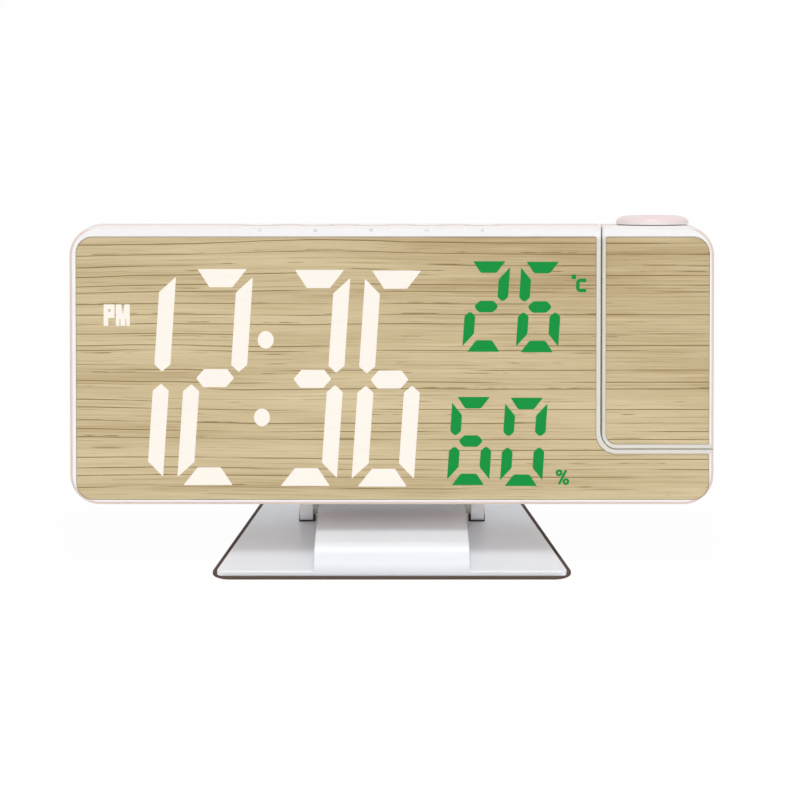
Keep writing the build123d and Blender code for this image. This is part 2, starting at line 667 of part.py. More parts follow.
with BuildPart() as front_housing:
    add(casing())
    add(swivel_space(SEAM_GAP), mode=Mode.SUBTRACT)
    add(clock_room(), mode=Mode.SUBTRACT)
    split(bisect_by=front_plane(MID_Y), keep=Keep.TOP)
    # seat of the face panel
    with BuildSketch(front_plane(FRONT_Y)):
        add(face_shape(FIT))
    extrude(amount=-(PANEL_SINK + PANEL_T), mode=Mode.SUBTRACT)
    # window for the display's reflector
    with BuildSketch(front_plane(PANEL_BACK_Y)):
        with Locations((WINDOW_X, WINDOW_Z)):
            RectangleRounded(WINDOW_WIDTH, WINDOW_HEIGHT, WINDOW_CORNER_R)
    extrude(amount=-FRONT_WALL, mode=Mode.SUBTRACT)
    # screw bosses down the casing's depth
    with BuildSketch(front_plane(MID_Y)):
        with Locations(*BOSSES):
            Circle(BOSS_R)
    extrude(amount=MID_Y - ROOM_FRONT_Y)
    with BuildSketch(front_plane(MID_Y)):
        with Locations(*BOSSES):
            Circle(SCREW_PILOT_R)
    extrude(amount=MID_Y - ROOM_FRONT_Y, mode=Mode.SUBTRACT)
    # bosses of the key board, hanging from the top wall
    with BuildSketch(Plane.XY.offset(KEY_BOARD_Z + KEY_BOARD_T)):
        with Locations(*[(x, KEY_BOSS_Y) for x in KEY_BOSSES]):
            Circle(KEY_BOSS_R)
            Circle(SMALL_SCREW_R, mode=Mode.SUBTRACT)
    extrude(amount=ROOM_TOP_Z - KEY_BOARD_Z - KEY_BOARD_T)
    # key holes
    with BuildSketch(Plane.XY.offset(ROOM_TOP_Z)):
        with Locations(*[(x, KEY_Y) for x in KEY_X]):
            SlotOverall(KEY_LENGTH + 2 * KEY_CLEAR, KEY_WIDTH + 2 * KEY_CLEAR)
    extrude(amount=WALL, mode=Mode.SUBTRACT)
    # half of the pivot bush's seat
    with Locations(Location((INNER_WALL_X + WALL / 2, MID_Y, SWIVEL_Z), (0, 90, 0))):
        Cylinder(SHAFT_R + BUSH_T, WALL, mode=Mode.SUBTRACT)
keep(front_housing, "front_housing")

LUG_FACE = (LUG_X, LUG_X + LUG_T)
LUG_ROOT_Y = BACK_Y - REAR_EDGE_R
LUG_SKIN_Y = BACK_Y - LUG_BITE
WELL_R = CELL_DIAMETER / 2 + WELL_CLEAR
WELL_FLOOR_Y = BACK_Y - WELL_DEPTH
DOOR_Z = WELL_Z + WELL_R + WALL - DOOR_HEIGHT / 2
DOOR_SCREW_Z = DOOR_Z - DOOR_HEIGHT / 2 + BOSS_R
DOOR_SEAT_Y = BACK_Y - DOOR_T
SCREW_SEAT_Y = BACK_Y - SCREW_SINK
VENTS = [(VENT_LEFT + VENT_PITCH * i, VENT_Z) for i in range(6)]

# tangent from the lug's upper root to its disc
root_far = math.hypot(LUG_SKIN_Y, LUG_TOP)
root_angle = math.atan2(LUG_TOP, LUG_SKIN_Y)
tangent_angle = root_angle - math.acos(LUG_R / root_far)
LUG_TANGENT = (LUG_R * math.cos(tangent_angle), LUG_R * math.sin(tangent_angle))
LUG_UNDER = (-math.sqrt(LUG_R ** 2 - BASE_Z ** 2), BASE_Z)

with BuildPart() as rear_cover:
    add(casing())
    add(swivel_space(SEAM_GAP), mode=Mode.SUBTRACT)
    add(clock_room(), mode=Mode.SUBTRACT)
    split(bisect_by=front_plane(MID_Y), keep=Keep.BOTTOM)
    # hinge lugs: a disc about the axis and a web to the back
    for x in (LUG_FACE[0], -LUG_FACE[1]):
        with BuildSketch(Plane.YZ.offset(x)):
            with BuildLine():
                Polyline((LUG_ROOT_Y, BASE_Z), (LUG_ROOT_Y, BASE_Z + LUG_FOOT_BITE),
                         (LUG_SKIN_Y, ROOM_BASE_Z), (LUG_SKIN_Y, LUG_TOP), LUG_TANGENT, (0, 0),
                         LUG_UNDER, close=True)
            make_face()
            Circle(LUG_R)
        extrude(amount=LUG_T)
    with Locations(Location((0, 0, 0), (0, 90, 0))):
        Cylinder(PIN_R, 2 * PIN_END, mode=Mode.SUBTRACT)
    # screw bosses
    with BuildSketch(front_plane(ROOM_BACK_Y)):
        with Locations(*BOSSES):
            Circle(BOSS_R)
    extrude(amount=ROOM_BACK_Y - MID_Y)
    with BuildSketch(front_plane(BACK_Y)):
        with Locations(*BOSSES):
            Circle(SCREW_CLEAR_R)
    extrude(amount=BACK_Y - MID_Y, mode=Mode.SUBTRACT)
    with BuildSketch(front_plane(BACK_Y)):
        with Locations(*BOSSES):
            Circle(SCREW_HEAD_R + SCREW_HEAD_ROOM)
    extrude(amount=SCREW_SINK, mode=Mode.SUBTRACT)
    # thick pad around the battery door, its recess, the cell's well and the door screw's boss
    with BuildSketch(front_plane(ROOM_BACK_Y)):
        with Locations((WELL_X, DOOR_Z)):
            RectangleRounded(DOOR_WIDTH + 2 * WALL, DOOR_HEIGHT + 2 * WALL, DOOR_R)
    extrude(amount=DOOR_T)
    with BuildSketch(front_plane(ROOM_BACK_Y)):
        with Locations((WELL_X, WELL_Z)):
            Circle(WELL_R + WELL_WALL)
        with Locations((WELL_X, DOOR_SCREW_Z)):
            Circle(BOSS_R)
    extrude(amount=ROOM_BACK_Y - WELL_FLOOR_Y + WELL_WALL)
    with BuildSketch(front_plane(BACK_Y)):
        with Locations((WELL_X, DOOR_Z)):
            RectangleRounded(DOOR_WIDTH + 2 * DOOR_FIT, DOOR_HEIGHT + 2 * DOOR_FIT, DOOR_R + DOOR_FIT)
    extrude(amount=DOOR_T, mode=Mode.SUBTRACT)
    with BuildSketch(front_plane(DOOR_SEAT_Y)):
        with Locations((WELL_X, WELL_Z)):
            Circle(WELL_R)
    extrude(amount=DOOR_SEAT_Y - WELL_FLOOR_Y, mode=Mode.SUBTRACT)
    with BuildSketch(front_plane(DOOR_SEAT_Y)):
        with Locations((WELL_X, DOOR_SCREW_Z)):
            Circle(SCREW_PILOT_R)
    extrude(amount=DOOR_SEAT_Y - WELL_FLOOR_Y, mode=Mode.SUBTRACT)
    # speaker's collar and grille
    with BuildSketch(front_plane(ROOM_BACK_Y)):
        with Locations((SPEAKER_X, SPEAKER_Z)):
            Circle(SPEAKER_R + FIT + WELL_WALL)
            Circle(SPEAKER_R + FIT, mode=Mode.SUBTRACT)
    extrude(amount=2 * SPEAKER_RIM)
    with BuildSketch(front_plane(BACK_Y)):
        with Locations((SPEAKER_X, SPEAKER_Z)):
            Circle(GRILLE_HOLE_R)
        for ring in range(1, int(GRILLE_R / GRILLE_PITCH) + 1):
            with Locations((SPEAKER_X, SPEAKER_Z)):
                with PolarLocations(ring * GRILLE_PITCH, 6 * ring):
                    Circle(GRILLE_HOLE_R)
    extrude(amount=WALL, mode=Mode.SUBTRACT)
    # socket mouths
    with BuildSketch(front_plane(BACK_Y)):
        with Locations((USB_X, SOCKET_Z)):
            RectangleRounded(USB_WIDTH + 2 * SOCKET_CLEAR, USB_HEIGHT + 2 * SOCKET_CLEAR, SOCKET_MOUTH_R)
        with Locations((INLET_X, SOCKET_Z)):
            SlotOverall(INLET_WIDTH + 2 * SOCKET_CLEAR, INLET_HEIGHT + 2 * SOCKET_CLEAR)
    extrude(amount=WALL, mode=Mode.SUBTRACT)
    # vents of the room sensor
    with BuildSketch(front_plane(BACK_Y)):
        with Locations(*VENTS):
            SlotOverall(VENT_LENGTH, VENT_WIDTH, rotation=90)
    extrude(amount=WALL, mode=Mode.SUBTRACT)
    # other half of the pivot bush's seat
    with Locations(Location((INNER_WALL_X + WALL / 2, MID_Y, SWIVEL_Z), (0, 90, 0))):
        Cylinder(SHAFT_R + BUSH_T, WALL, mode=Mode.SUBTRACT)
keep(rear_cover, "rear_cover")

with BuildPart() as face_panel:
    with BuildSketch(front_plane(PANEL_BACK_Y)):
        add(face_shape(0))
    extrude(amount=PANEL_T)
keep(face_panel, "face_panel")

screws("case_screws", [(x, SCREW_SEAT_Y, z) for x, z in BOSSES], (-90, 0, 0),
       (SCREW_R, SCREW_LENGTH, SCREW_HEAD_R, SCREW_HEAD_T))

# ---------------------------------------------------------------------------- display
with BuildPart() as display_reflector:
    with BuildSketch(front_plane(REFLECTOR_BACK_Y)):
        with Locations((WINDOW_X, WINDOW_Z)):
            RectangleRounded(WINDOW_WIDTH - 4 * FIT, WINDOW_HEIGHT - 4 * FIT, WINDOW_CORNER_R)
    extrude(amount=REFLECTOR_T)
    with BuildSketch(front_plane(REFLECTOR_BACK_Y)):
        with Locations((WINDOW_X, WINDOW_Z)):
            Rectangle(WINDOW_WIDTH + 2 * REFLECTOR_LIP, WINDOW_HEIGHT + 2 * REFLECTOR_LIP)
    extrude(amount=REFLECTOR_BACK_Y - ROOM_FRONT_Y - FIT)
    # light wells, one behind each bar, dot and mark
    with BuildSketch(front_plane(REFLECTOR_BACK_Y)):
        add(bar_sketch(TIME_BARS + CLIMATE_BARS))
        with Locations(*DOT_SPOTS):
            Circle(COLON_R)
        for x, z, wide, high in MARK_WINDOWS:
            with Locations((x, z)):
                Rectangle(wide, high)
    extrude(amount=REFLECTOR_T, mode=Mode.SUBTRACT)
    with BuildSketch(front_plane(REFLECTOR_BACK_Y)):
        with Locations(*BOARD_SCREW_SPOTS):
            Circle(SMALL_SCREW_R)
    extrude(amount=REFLECTOR_T - FRONT_WALL / 2, mode=Mode.SUBTRACT)
keep(display_reflector, "display_reflector")

DIFFUSER_PLANE = front_plane(REFLECTOR_FRONT_Y + DIFFUSER_T)
with BuildPart() as time_segments:
    with BuildSketch(DIFFUSER_PLANE):
        add(bar_sketch(TIME_BARS, BAR_FIT))
        with Locations(*DOT_SPOTS):
            Circle(COLON_R - BAR_FIT)
    extrude(amount=DIFFUSER_T)
keep(time_segments, "time_segments")

with BuildPart() as climate_segments:
    with BuildSketch(DIFFUSER_PLANE):
        add(bar_sketch(CLIMATE_BARS, BAR_FIT))
    extrude(amount=DIFFUSER_T)
keep(climate_segments, "climate_segments")

with BuildPart() as mark_windows:
    with BuildSketch(DIFFUSER_PLANE):
        for x, z, wide, high in MARK_WINDOWS:
            with Locations((x, z)):
                Rectangle(wide - 2 * BAR_FIT, high - 2 * BAR_FIT)
    extrude(amount=DIFFUSER_T)
keep(mark_windows, "mark_windows")

LED_SPOTS = [bar_middle(bar) for bar in TIME_BARS + CLIMATE_BARS] + DOT_SPOTS
LED_SPOTS += [(x, z) for x, z, _, _ in MARK_WINDOWS]
with BuildPart() as segment_leds:
    with BuildSketch(front_plane(BOARD_FRONT_Y)):
        with Locations(*LED_SPOTS):
            Rectangle(LED_LENGTH, LED_WIDTH)
    extrude(amount=LED_T)
keep(segment_leds, "segment_leds")

# main board, cut away around the pivot of the projector
pivot_room_r = BUSH_FLANGE_R + PIVOT_ROOM
pivot_room_x = INNER_WALL_X - PIVOT_ROOM_X
board_left = WINDOW_LEFT - REFLECTOR_LIP + BOARD_INSET
board_right = WINDOW_RIGHT + REFLECTOR_LIP - BOARD_INSET
board_base = WINDOW_BASE - REFLECTOR_LIP
board_top = WINDOW_TOP + REFLECTOR_LIP - BOARD_INSET
with BuildPart() as main_board:
    with BuildSketch(front_plane(BOARD_BACK_Y)):
        with Locations(((board_left + board_right) / 2, (board_base + board_top) / 2)):
            Rectangle(board_right - board_left, board_top - board_base)
        with Locations(((pivot_room_x + HALF_WIDTH) / 2, SWIVEL_Z)):
            Rectangle(HALF_WIDTH - pivot_room_x, 2 * pivot_room_r, mode=Mode.SUBTRACT)
        with Locations(*BOARD_SCREW_SPOTS):
            Circle(SMALL_SCREW_R + FIT, mode=Mode.SUBTRACT)
    extrude(amount=BOARD_T)
keep(main_board, "main_board")

screws("board_screws", [(x, BOARD_BACK_Y, z) for x, z in BOARD_SCREW_SPOTS], (-90, 0, 0),
       (SMALL_SCREW_R - THREAD_FIT, BOARD_T + REFLECTOR_T - FRONT_WALL, SMALL_HEAD_R, SMALL_HEAD_T))

# processor, driver chips, capacitors and buzzer driver on the back of the main board: x, z, size
BOARD_PARTS = ((-58.0, 42.0, 10.0, 10.0, 1.6), (-5.0, 58.0, 7.0, 5.0, 1.4), (-5.0, 22.0, 7.0, 5.0, 1.4),
               (-70.0, 60.0, 4.0, 6.0, 2.2), (-44.0, 60.0, 3.2, 1.6, 1.0), (40.0, 60.0, 6.0, 4.0, 1.2))
with BuildPart() as board_parts:
    for x, z, wide, high, thick in BOARD_PARTS:
        with BuildSketch(front_plane(BOARD_BACK_Y + thick)):
            with Locations((x, z)):
                Rectangle(wide, high)
        extrude(amount=thick)
keep(board_parts, "board_parts")

with BuildPart() as room_sensor:
    with BuildSketch(front_plane(BOARD_BACK_Y + SENSOR_T)):
        with Locations(VENTS[2]):
            Rectangle(SENSOR_WIDTH, SENSOR_HEIGHT)
            with GridLocations(SENSOR_HOLE_PITCH, SENSOR_HOLE_PITCH, 2, 2):
                Circle(SENSOR_HOLE_R, mode=Mode.SUBTRACT)
    extrude(amount=SENSOR_T)
keep(room_sensor, "room_sensor")

# ---------------------------------------------------------------------------- keys
key_board_length = KEY_X[-1] - KEY_X[0] + 2 * KEY_BOARD_MARGIN
key_row_x = (KEY_X[0] + KEY_X[-1]) / 2
with BuildPart() as key_board:
    with BuildSketch(Plane.XY.offset(KEY_BOARD_Z)):
        with Locations((key_row_x, KEY_Y + KEY_BOARD_SHIFT)):
            Rectangle(key_board_length, KEY_BOARD_DEPTH)
        with Locations(*[(x, KEY_BOSS_Y) for x in KEY_BOSSES]):
            Circle(SMALL_SCREW_R + FIT, mode=Mode.SUBTRACT)
    extrude(amount=KEY_BOARD_T)
keep(key_board, "key_board")

screws("key_board_screws", [(x, KEY_BOSS_Y, KEY_BOARD_Z) for x in KEY_BOSSES], (180, 0, 0),
       (SMALL_SCREW_R - THREAD_FIT, SHORT_SCREW_LENGTH, SMALL_HEAD_R, SMALL_HEAD_T))

SWITCH_Z = KEY_BOARD_Z + KEY_BOARD_T
STEM_END_Z = SWITCH_Z + SWITCH_H - STEM_ENTRY
with BuildPart() as key_switches:
    with BuildSketch(Plane.XY.offset(SWITCH_Z)):
        with Locations(*[(x, KEY_Y) for x in KEY_X]):
            Rectangle(SWITCH_SIZE, SWITCH_SIZE)
    extrude(amount=SWITCH_H)
    with BuildSketch(Plane.XY.offset(STEM_END_Z - KEY_TRAVEL - KEY_CLEAR)):
        with Locations(*[(x, KEY_Y) for x in KEY_X]):
            Circle(KEY_STEM_R + FIT)
    extrude(amount=SWITCH_H, mode=Mode.SUBTRACT)
keep(key_switches, "key_switches")

for number, key_x in enumerate(KEY_X, start=1):
    with BuildPart() as key:
        with BuildSketch(Plane.XY.offset(KEY_FLANGE_TOP)):
            with Locations((key_x, KEY_Y)):
                SlotOverall(KEY_LENGTH, KEY_WIDTH)
        extrude(amount=TOP_Z + KEY_PROUD - KEY_FLANGE_TOP)
        fillet(key.faces().sort_by(Axis.Z)[-1].edges(), KEY_EDGE_R)
        with BuildSketch(Plane.XY.offset(KEY_FLANGE_TOP - KEY_FLANGE_T)):
            with Locations((key_x, KEY_Y)):
                SlotOverall(KEY_LENGTH + 2 * KEY_FLANGE, KEY_WIDTH + 2 * KEY_FLANGE)
        extrude(amount=KEY_FLANGE_T)
        with BuildSketch(Plane.XY.offset(STEM_END_Z)):
            with Locations((key_x, KEY_Y)):
                Circle(KEY_STEM_R)
        extrude(amount=KEY_FLANGE_TOP - KEY_FLANGE_T - STEM_END_Z)
    keep(key, f"key_{number}")

# ---------------------------------------------------------------------------- speaker
speaker_plane = Plane(origin=(SPEAKER_X, ROOM_BACK_Y, SPEAKER_Z), x_dir=(1, 0, 0), z_dir=(0, 0, -1))
speaker_axis = Axis((SPEAKER_X, ROOM_BACK_Y, SPEAKER_Z), (0, 1, 0))
# the sketch's y runs to the front, away from the grille
CONE_SEAT_R = SPEAKER_R - CONE_RIM
CONE_R = CONE_SEAT_R - CONE_FIT
with BuildPart() as speaker:
    with BuildSketch(speaker_plane):
        with BuildLine():
            Polyline((CONE_SEAT_R, 0), (SPEAKER_R, 0), (SPEAKER_R, SPEAKER_RIM), (MAGNET_R, BASKET_DEPTH),
                     (MAGNET_R, SPEAKER_DEPTH), (0, SPEAKER_DEPTH), (0, MAGNET_FLOOR),
                     (MAGNET_R - MAGNET_WALL, MAGNET_FLOOR), (CONE_SEAT_R, SPEAKER_RIM), close=True)
        make_face()
    revolve(axis=speaker_axis)
keep(speaker, "speaker")

with BuildPart() as speaker_cone:
    with BuildSketch(speaker_plane):
        with BuildLine():
            Polyline((0, CONE_DEPTH - CAP_RISE), (CAP_R, CONE_DEPTH), (CONE_R, CONE_RISE),
                     (CONE_R, CONE_RISE + CONE_RIM_T), (CAP_R, CONE_DEPTH + CONE_T),
                     (0, CONE_DEPTH + CONE_T - CAP_RISE), close=True)
        make_face()
    revolve(axis=speaker_axis)
keep(speaker_cone, "speaker_cone")

# ---------------------------------------------------------------------------- backup cell and its door
CELL_BASE_Y = WELL_FLOOR_Y + SPRING_T
with BuildPart() as cell_spring:
    with BuildSketch(front_plane(CELL_BASE_Y)):
        with Locations((WELL_X, WELL_Z)):
            Circle(SPRING_R)
            Rectangle(SPRING_ARM, CELL_DIAMETER - SPRING_SHORT)
            Circle(SPRING_HOLE_R, mode=Mode.SUBTRACT)
    extrude(amount=SPRING_T)
keep(cell_spring, "cell_spring")

with BuildPart() as coin_cell:
    with BuildSketch(front_plane(CELL_BASE_Y + CELL_T)):
        with Locations((WELL_X, WELL_Z)):
            Circle(CELL_DIAMETER / 2)
    extrude(amount=CELL_T)
    chamfer(coin_cell.edges().group_by(Axis.Y)[0], CELL_CHAMFER)
keep(coin_cell, "coin_cell")

with BuildPart() as cell_clip:
    with BuildSketch(front_plane(CELL_BASE_Y + CELL_T)):
        with Locations((WELL_X + CELL_DIAMETER / 2 + WELL_CLEAR / 2, WELL_Z)):
            Rectangle(CLIP_T, CLIP_WIDTH)
    extrude(amount=CELL_T + SPRING_T)
keep(cell_clip, "cell_clip")

with BuildPart() as battery_door:
    with BuildSketch(front_plane(BACK_Y)):
        with Locations((WELL_X, DOOR_Z)):
            RectangleRounded(DOOR_WIDTH, DOOR_HEIGHT, DOOR_R)
    extrude(amount=DOOR_T)
    # rib that holds the cell down
    with BuildSketch(front_plane(DOOR_SEAT_Y)):
        with Locations((WELL_X, WELL_Z)):
            Circle(DOOR_RIB_R)
            Circle(DOOR_RIB_R - DOOR_RIB_WALL, mode=Mode.SUBTRACT)
    extrude(amount=DOOR_SEAT_Y - (CELL_BASE_Y + CELL_T) - FIT)
    with BuildSketch(front_plane(BACK_Y)):
        with Locations((WELL_X, DOOR_SCREW_Z)):
            Circle(SCREW_R + FIT)
    extrude(amount=DOOR_T, mode=Mode.SUBTRACT)
    with BuildSketch(front_plane(BACK_Y)):
        with Locations((WELL_X, DOOR_SCREW_Z)):
            Circle(SMALL_HEAD_R + DOOR_FIT)
    extrude(amount=SMALL_HEAD_T, mode=Mode.SUBTRACT)
keep(battery_door, "battery_door")

screws("door_screw", [(WELL_X, BACK_Y - SMALL_HEAD_T, DOOR_SCREW_Z)], (-90, 0, 0),
       (SCREW_R, SHORT_SCREW_LENGTH, SMALL_HEAD_R, SMALL_HEAD_T - HEAD_SINK))

# ---------------------------------------------------------------------------- sockets
MOUTH_Y = BACK_Y - SOCKET_SINK
usb_base_y = MOUTH_Y - USB_LENGTH
inlet_base_y = MOUTH_Y - INLET_LENGTH
with BuildPart() as usb_shell:
    with BuildSketch(front_plane(MOUTH_Y)):
        with Locations((USB_X, SOCKET_Z)):
            RectangleRounded(USB_WIDTH, USB_HEIGHT, USB_SHELL_R)
            Rectangle(USB_WIDTH - 2 * SOCKET_SHEET, USB_HEIGHT - 2 * SOCKET_SHEET, mode=Mode.SUBTRACT)
    extrude(amount=USB_LENGTH)
keep(usb_shell, "usb_shell")

with BuildPart() as usb_core:
    with BuildSketch(front_plane(usb_base_y)):
        with Locations((USB_X, SOCKET_Z)):
            Rectangle(USB_WIDTH, USB_HEIGHT)
    extrude(amount=usb_base_y - BOARD_BACK_Y)
    with BuildSketch(front_plane(usb_base_y + USB_PLUG_T)):
        with Locations((USB_X, SOCKET_Z)):
            Rectangle(USB_WIDTH - 4 * SOCKET_SHEET, USB_HEIGHT - 4 * SOCKET_SHEET)
    extrude(amount=USB_PLUG_T)
    with BuildSketch(front_plane(MOUTH_Y - USB_TONGUE_SINK)):
        with Locations((USB_X, SOCKET_Z + USB_TONGUE_RISE)):
            Rectangle(USB_WIDTH - USB_TONGUE_NARROWER, USB_TONGUE_T)
    extrude(amount=USB_LENGTH - USB_TONGUE_SINK)
keep(usb_core, "usb_core")

with BuildPart() as inlet_shell:
    with BuildSketch(front_plane(MOUTH_Y)):
        with Locations((INLET_X, SOCKET_Z)):
            SlotOverall(INLET_WIDTH, INLET_HEIGHT)
            SlotOverall(INLET_WIDTH - 2 * SOCKET_SHEET, INLET_HEIGHT - 2 * SOCKET_SHEET, mode=Mode.SUBTRACT)
    extrude(amount=INLET_LENGTH)
keep(inlet_shell, "inlet_shell")

with BuildPart() as inlet_core:
    with BuildSketch(front_plane(inlet_base_y)):
        with Locations((INLET_X, SOCKET_Z)):
            Rectangle(INLET_WIDTH, INLET_HEIGHT)
    extrude(amount=inlet_base_y - BOARD_BACK_Y)
    with BuildSketch(front_plane(MOUTH_Y - INLET_TONGUE_SINK)):
        with Locations((INLET_X, SOCKET_Z)):
            Rectangle(INLET_WIDTH - INLET_TONGUE_NARROWER, INLET_TONGUE_T)
    extrude(amount=INLET_LENGTH - INLET_TONGUE_SINK)
keep(inlet_core, "inlet_core")

# ---------------------------------------------------------------------------- swivel joint
bush_flange_x = INNER_WALL_X - BUSH_FLANGE_T
washer_x = bush_flange_x - AXIAL_PLAY - THRUST_WASHER_T
ring_x = washer_x - AXIAL_PLAY - RETAINING_RING_T
shaft_end_x = ring_x - SHAFT_TAIL
GROOVE_R = SHAFT_R - GROOVE_DEPTH
RING_BORE_R = GROOVE_R + SHAFT_SEAT_FIT


def turned_about_swivel(name, outline, gap=None):
    """Write a ring or shaft turned about the swivel axis from its (x, radius) outline, with a box-shaped
    gap, given by its middle and size, cut out of it."""
    with BuildPart() as turned:
        with BuildSketch(SHAFT_PLANE):
            with BuildLine():
                Polyline(*outline, close=True)
            make_face()
        revolve(axis=SWIVEL_AXIS)
        if gap:
            with Locations(gap[0]):
                Box(*gap[1], mode=Mode.SUBTRACT)
    keep(turned, name)


turned_about_swivel("pivot_shaft", [
    (shaft_end_x, SHAFT_BORE_R), (shaft_end_x, SHAFT_R), (ring_x - AXIAL_PLAY / 2, SHAFT_R),
    (ring_x - AXIAL_PLAY / 2, GROOVE_R), (ring_x + RETAINING_RING_T + AXIAL_PLAY / 2, GROOVE_R),
    (ring_x + RETAINING_RING_T + AXIAL_PLAY / 2, SHAFT_R), (MODULE_ROOM_X, SHAFT_R),
    (MODULE_ROOM_X, SHAFT_FLANGE_R), (MODULE_ROOM_X + SHAFT_FLANGE_T, SHAFT_FLANGE_R),
    (MODULE_ROOM_X + SHAFT_FLANGE_T, SHAFT_BORE_R)])
turned_about_swivel("pivot_bush", [
    (bush_flange_x, SHAFT_R + SHAFT_FIT), (bush_flange_x, BUSH_FLANGE_R), (INNER_WALL_X, BUSH_FLANGE_R),
    (INNER_WALL_X, SHAFT_R + BUSH_T), (SEAM_X, SHAFT_R + BUSH_T), (SEAM_X, SHAFT_R + SHAFT_FIT)])
turned_about_swivel("pivot_washer", [
    (washer_x, SHAFT_R + SHAFT_FIT), (washer_x, BUSH_FLANGE_R), (washer_x + THRUST_WASHER_T, BUSH_FLANGE_R),
    (washer_x + THRUST_WASHER_T, SHAFT_R + SHAFT_FIT)])
turned_about_swivel("pivot_ring", [
    (ring_x, RING_BORE_R), (ring_x, RETAINING_RING_R), (ring_x + RETAINING_RING_T, RETAINING_RING_R),
    (ring_x + RETAINING_RING_T, RING_BORE_R)],
    ((ring_x + RETAINING_RING_T / 2, MID_Y, SWIVEL_Z - RETAINING_RING_R),
     (2 * RETAINING_RING_T, 2 * SHAFT_BORE_R, RETAINING_RING_R)))

# ---------------------------------------------------------------------------- projector module
collar_top = TOP_Z - MODULE_WALL - DOME_GAP
collar_base = collar_top - COLLAR_T
cell_top = TOP_Z + DOME_GAP + DOME_H - CELL_DROP
cell_base = cell_top - CELL_LENGTH
barrel_top = collar_base - NECK_CLEAR
lamp_base = SWIVEL_Z + LAMP_RISE
barrel_base = lamp_base + LAMP_HEIGHT
MODULE_BOSSES = ((HALF_WIDTH - MODULE_WALL - BOSS_R + MODULE_BOSS_BITE, SWIVEL_Z - MODULE_BOSS_DROP),
                 (MODULE_ROOM_X + BOSS_R - SEAM_SIDE_BOSS_BITE, TOP_Z - SEAM_SIDE_BOSS_DROP))


def module_room():
    """Hollow of the projector module."""
    with BuildPart() as room:
        add(inner_block(MODULE_WALL, ROOM_FRONT_Y, MODULE_BACK_Y))
        add(swivel_space(-MODULE_WALL), mode=Mode.INTERSECT)
    return room.part


def module_half(side):
    """One half of the module's shell, before its own details."""
    with BuildPart() as half:
        add(casing())
        add(swivel_space(0), mode=Mode.INTERSECT)
        add(module_room(), mode=Mode.SUBTRACT)
        split(bisect_by=front_plane(MID_Y), keep=side)
        seam_edges = half.faces().sort_by(Axis.X)[0].edges()
        fillet(seam_edges.sort_by(Axis.Z)[-1], MODULE_EDGE_R)
        # throat of the focus ring
        with BuildSketch(Plane.XY.offset(TOP_Z - MODULE_WALL)):
            with Locations((OPTICS_X, MID_Y)):
                Circle(NECK_R + NECK_CLEAR)
        extrude(amount=MODULE_WALL, mode=Mode.SUBTRACT)
        # hole of the pivot shaft
        with Locations(Location((MODULE_LEFT + MODULE_WALL / 2, MID_Y, SWIVEL_Z), (0, 90, 0))):
            Cylinder(SHAFT_R + SHAFT_SEAT_FIT, MODULE_WALL, mode=Mode.SUBTRACT)
    return half.part


with BuildPart() as projector_front:
    add(module_half(Keep.TOP))
    with BuildSketch(front_plane(FRONT_Y)):
        add(module_face_shape(FIT))
    extrude(amount=-(PANEL_SINK + PANEL_T), mode=Mode.SUBTRACT)
    with BuildSketch(front_plane(MID_Y)):
        with Locations(*MODULE_BOSSES):
            Circle(BOSS_R)
    extrude(amount=MID_Y - ROOM_FRONT_Y)
    with BuildSketch(front_plane(MID_Y)):
        with Locations(*MODULE_BOSSES):
            Circle(SCREW_PILOT_R)
    extrude(amount=MID_Y - ROOM_FRONT_Y, mode=Mode.SUBTRACT)
keep(projector_front, "projector_front")

with BuildPart() as projector_rear:
    add(module_half(Keep.BOTTOM))
    with BuildSketch(front_plane(MODULE_BACK_Y)):
        with Locations(*MODULE_BOSSES):
            Circle(BOSS_R)
    extrude(amount=MODULE_BACK_Y - MID_Y)
    with BuildSketch(front_plane(BACK_Y)):
        with Locations(*MODULE_BOSSES):
            Circle(SCREW_CLEAR_R)
    extrude(amount=BACK_Y - MID_Y, mode=Mode.SUBTRACT)
    with BuildSketch(front_plane(BACK_Y)):
        with Locations(*MODULE_BOSSES):
            Circle(SCREW_HEAD_R + SCREW_HEAD_ROOM)
    extrude(amount=SCREW_SINK, mode=Mode.SUBTRACT)
keep(projector_rear, "projector_rear")

with BuildPart() as projector_panel:
    with BuildSketch(front_plane(PANEL_BACK_Y)):
        add(module_face_shape(0))
    extrude(amount=PANEL_T)
keep(projector_panel, "projector_panel")

screws("projector_screws", [(x, SCREW_SEAT_Y, z) for x, z in MODULE_BOSSES], (-90, 0, 0),
       (SCREW_R, MODULE_SCREW_LENGTH, SCREW_HEAD_R, SCREW_HEAD_T))


def cap_middle(radius, height):
    """Point half way out on a spherical cap of a given rim radius and height."""
    ball = (radius ** 2 + height ** 2) / (2 * height)
    return (radius / 2, height - ball + math.sqrt(ball ** 2 - radius ** 2 / 4))


def turned_about_lens(outline):
    """Solid turned about the lens's upright axis from its (radius, z) outline."""
    with BuildPart() as turned:
        with BuildSketch(OPTICS_PLANE):
            with BuildLine():
                Polyline(*outline, close=True)
            make_face()
        revolve(axis=OPTICS_AXIS)
    return turned.part


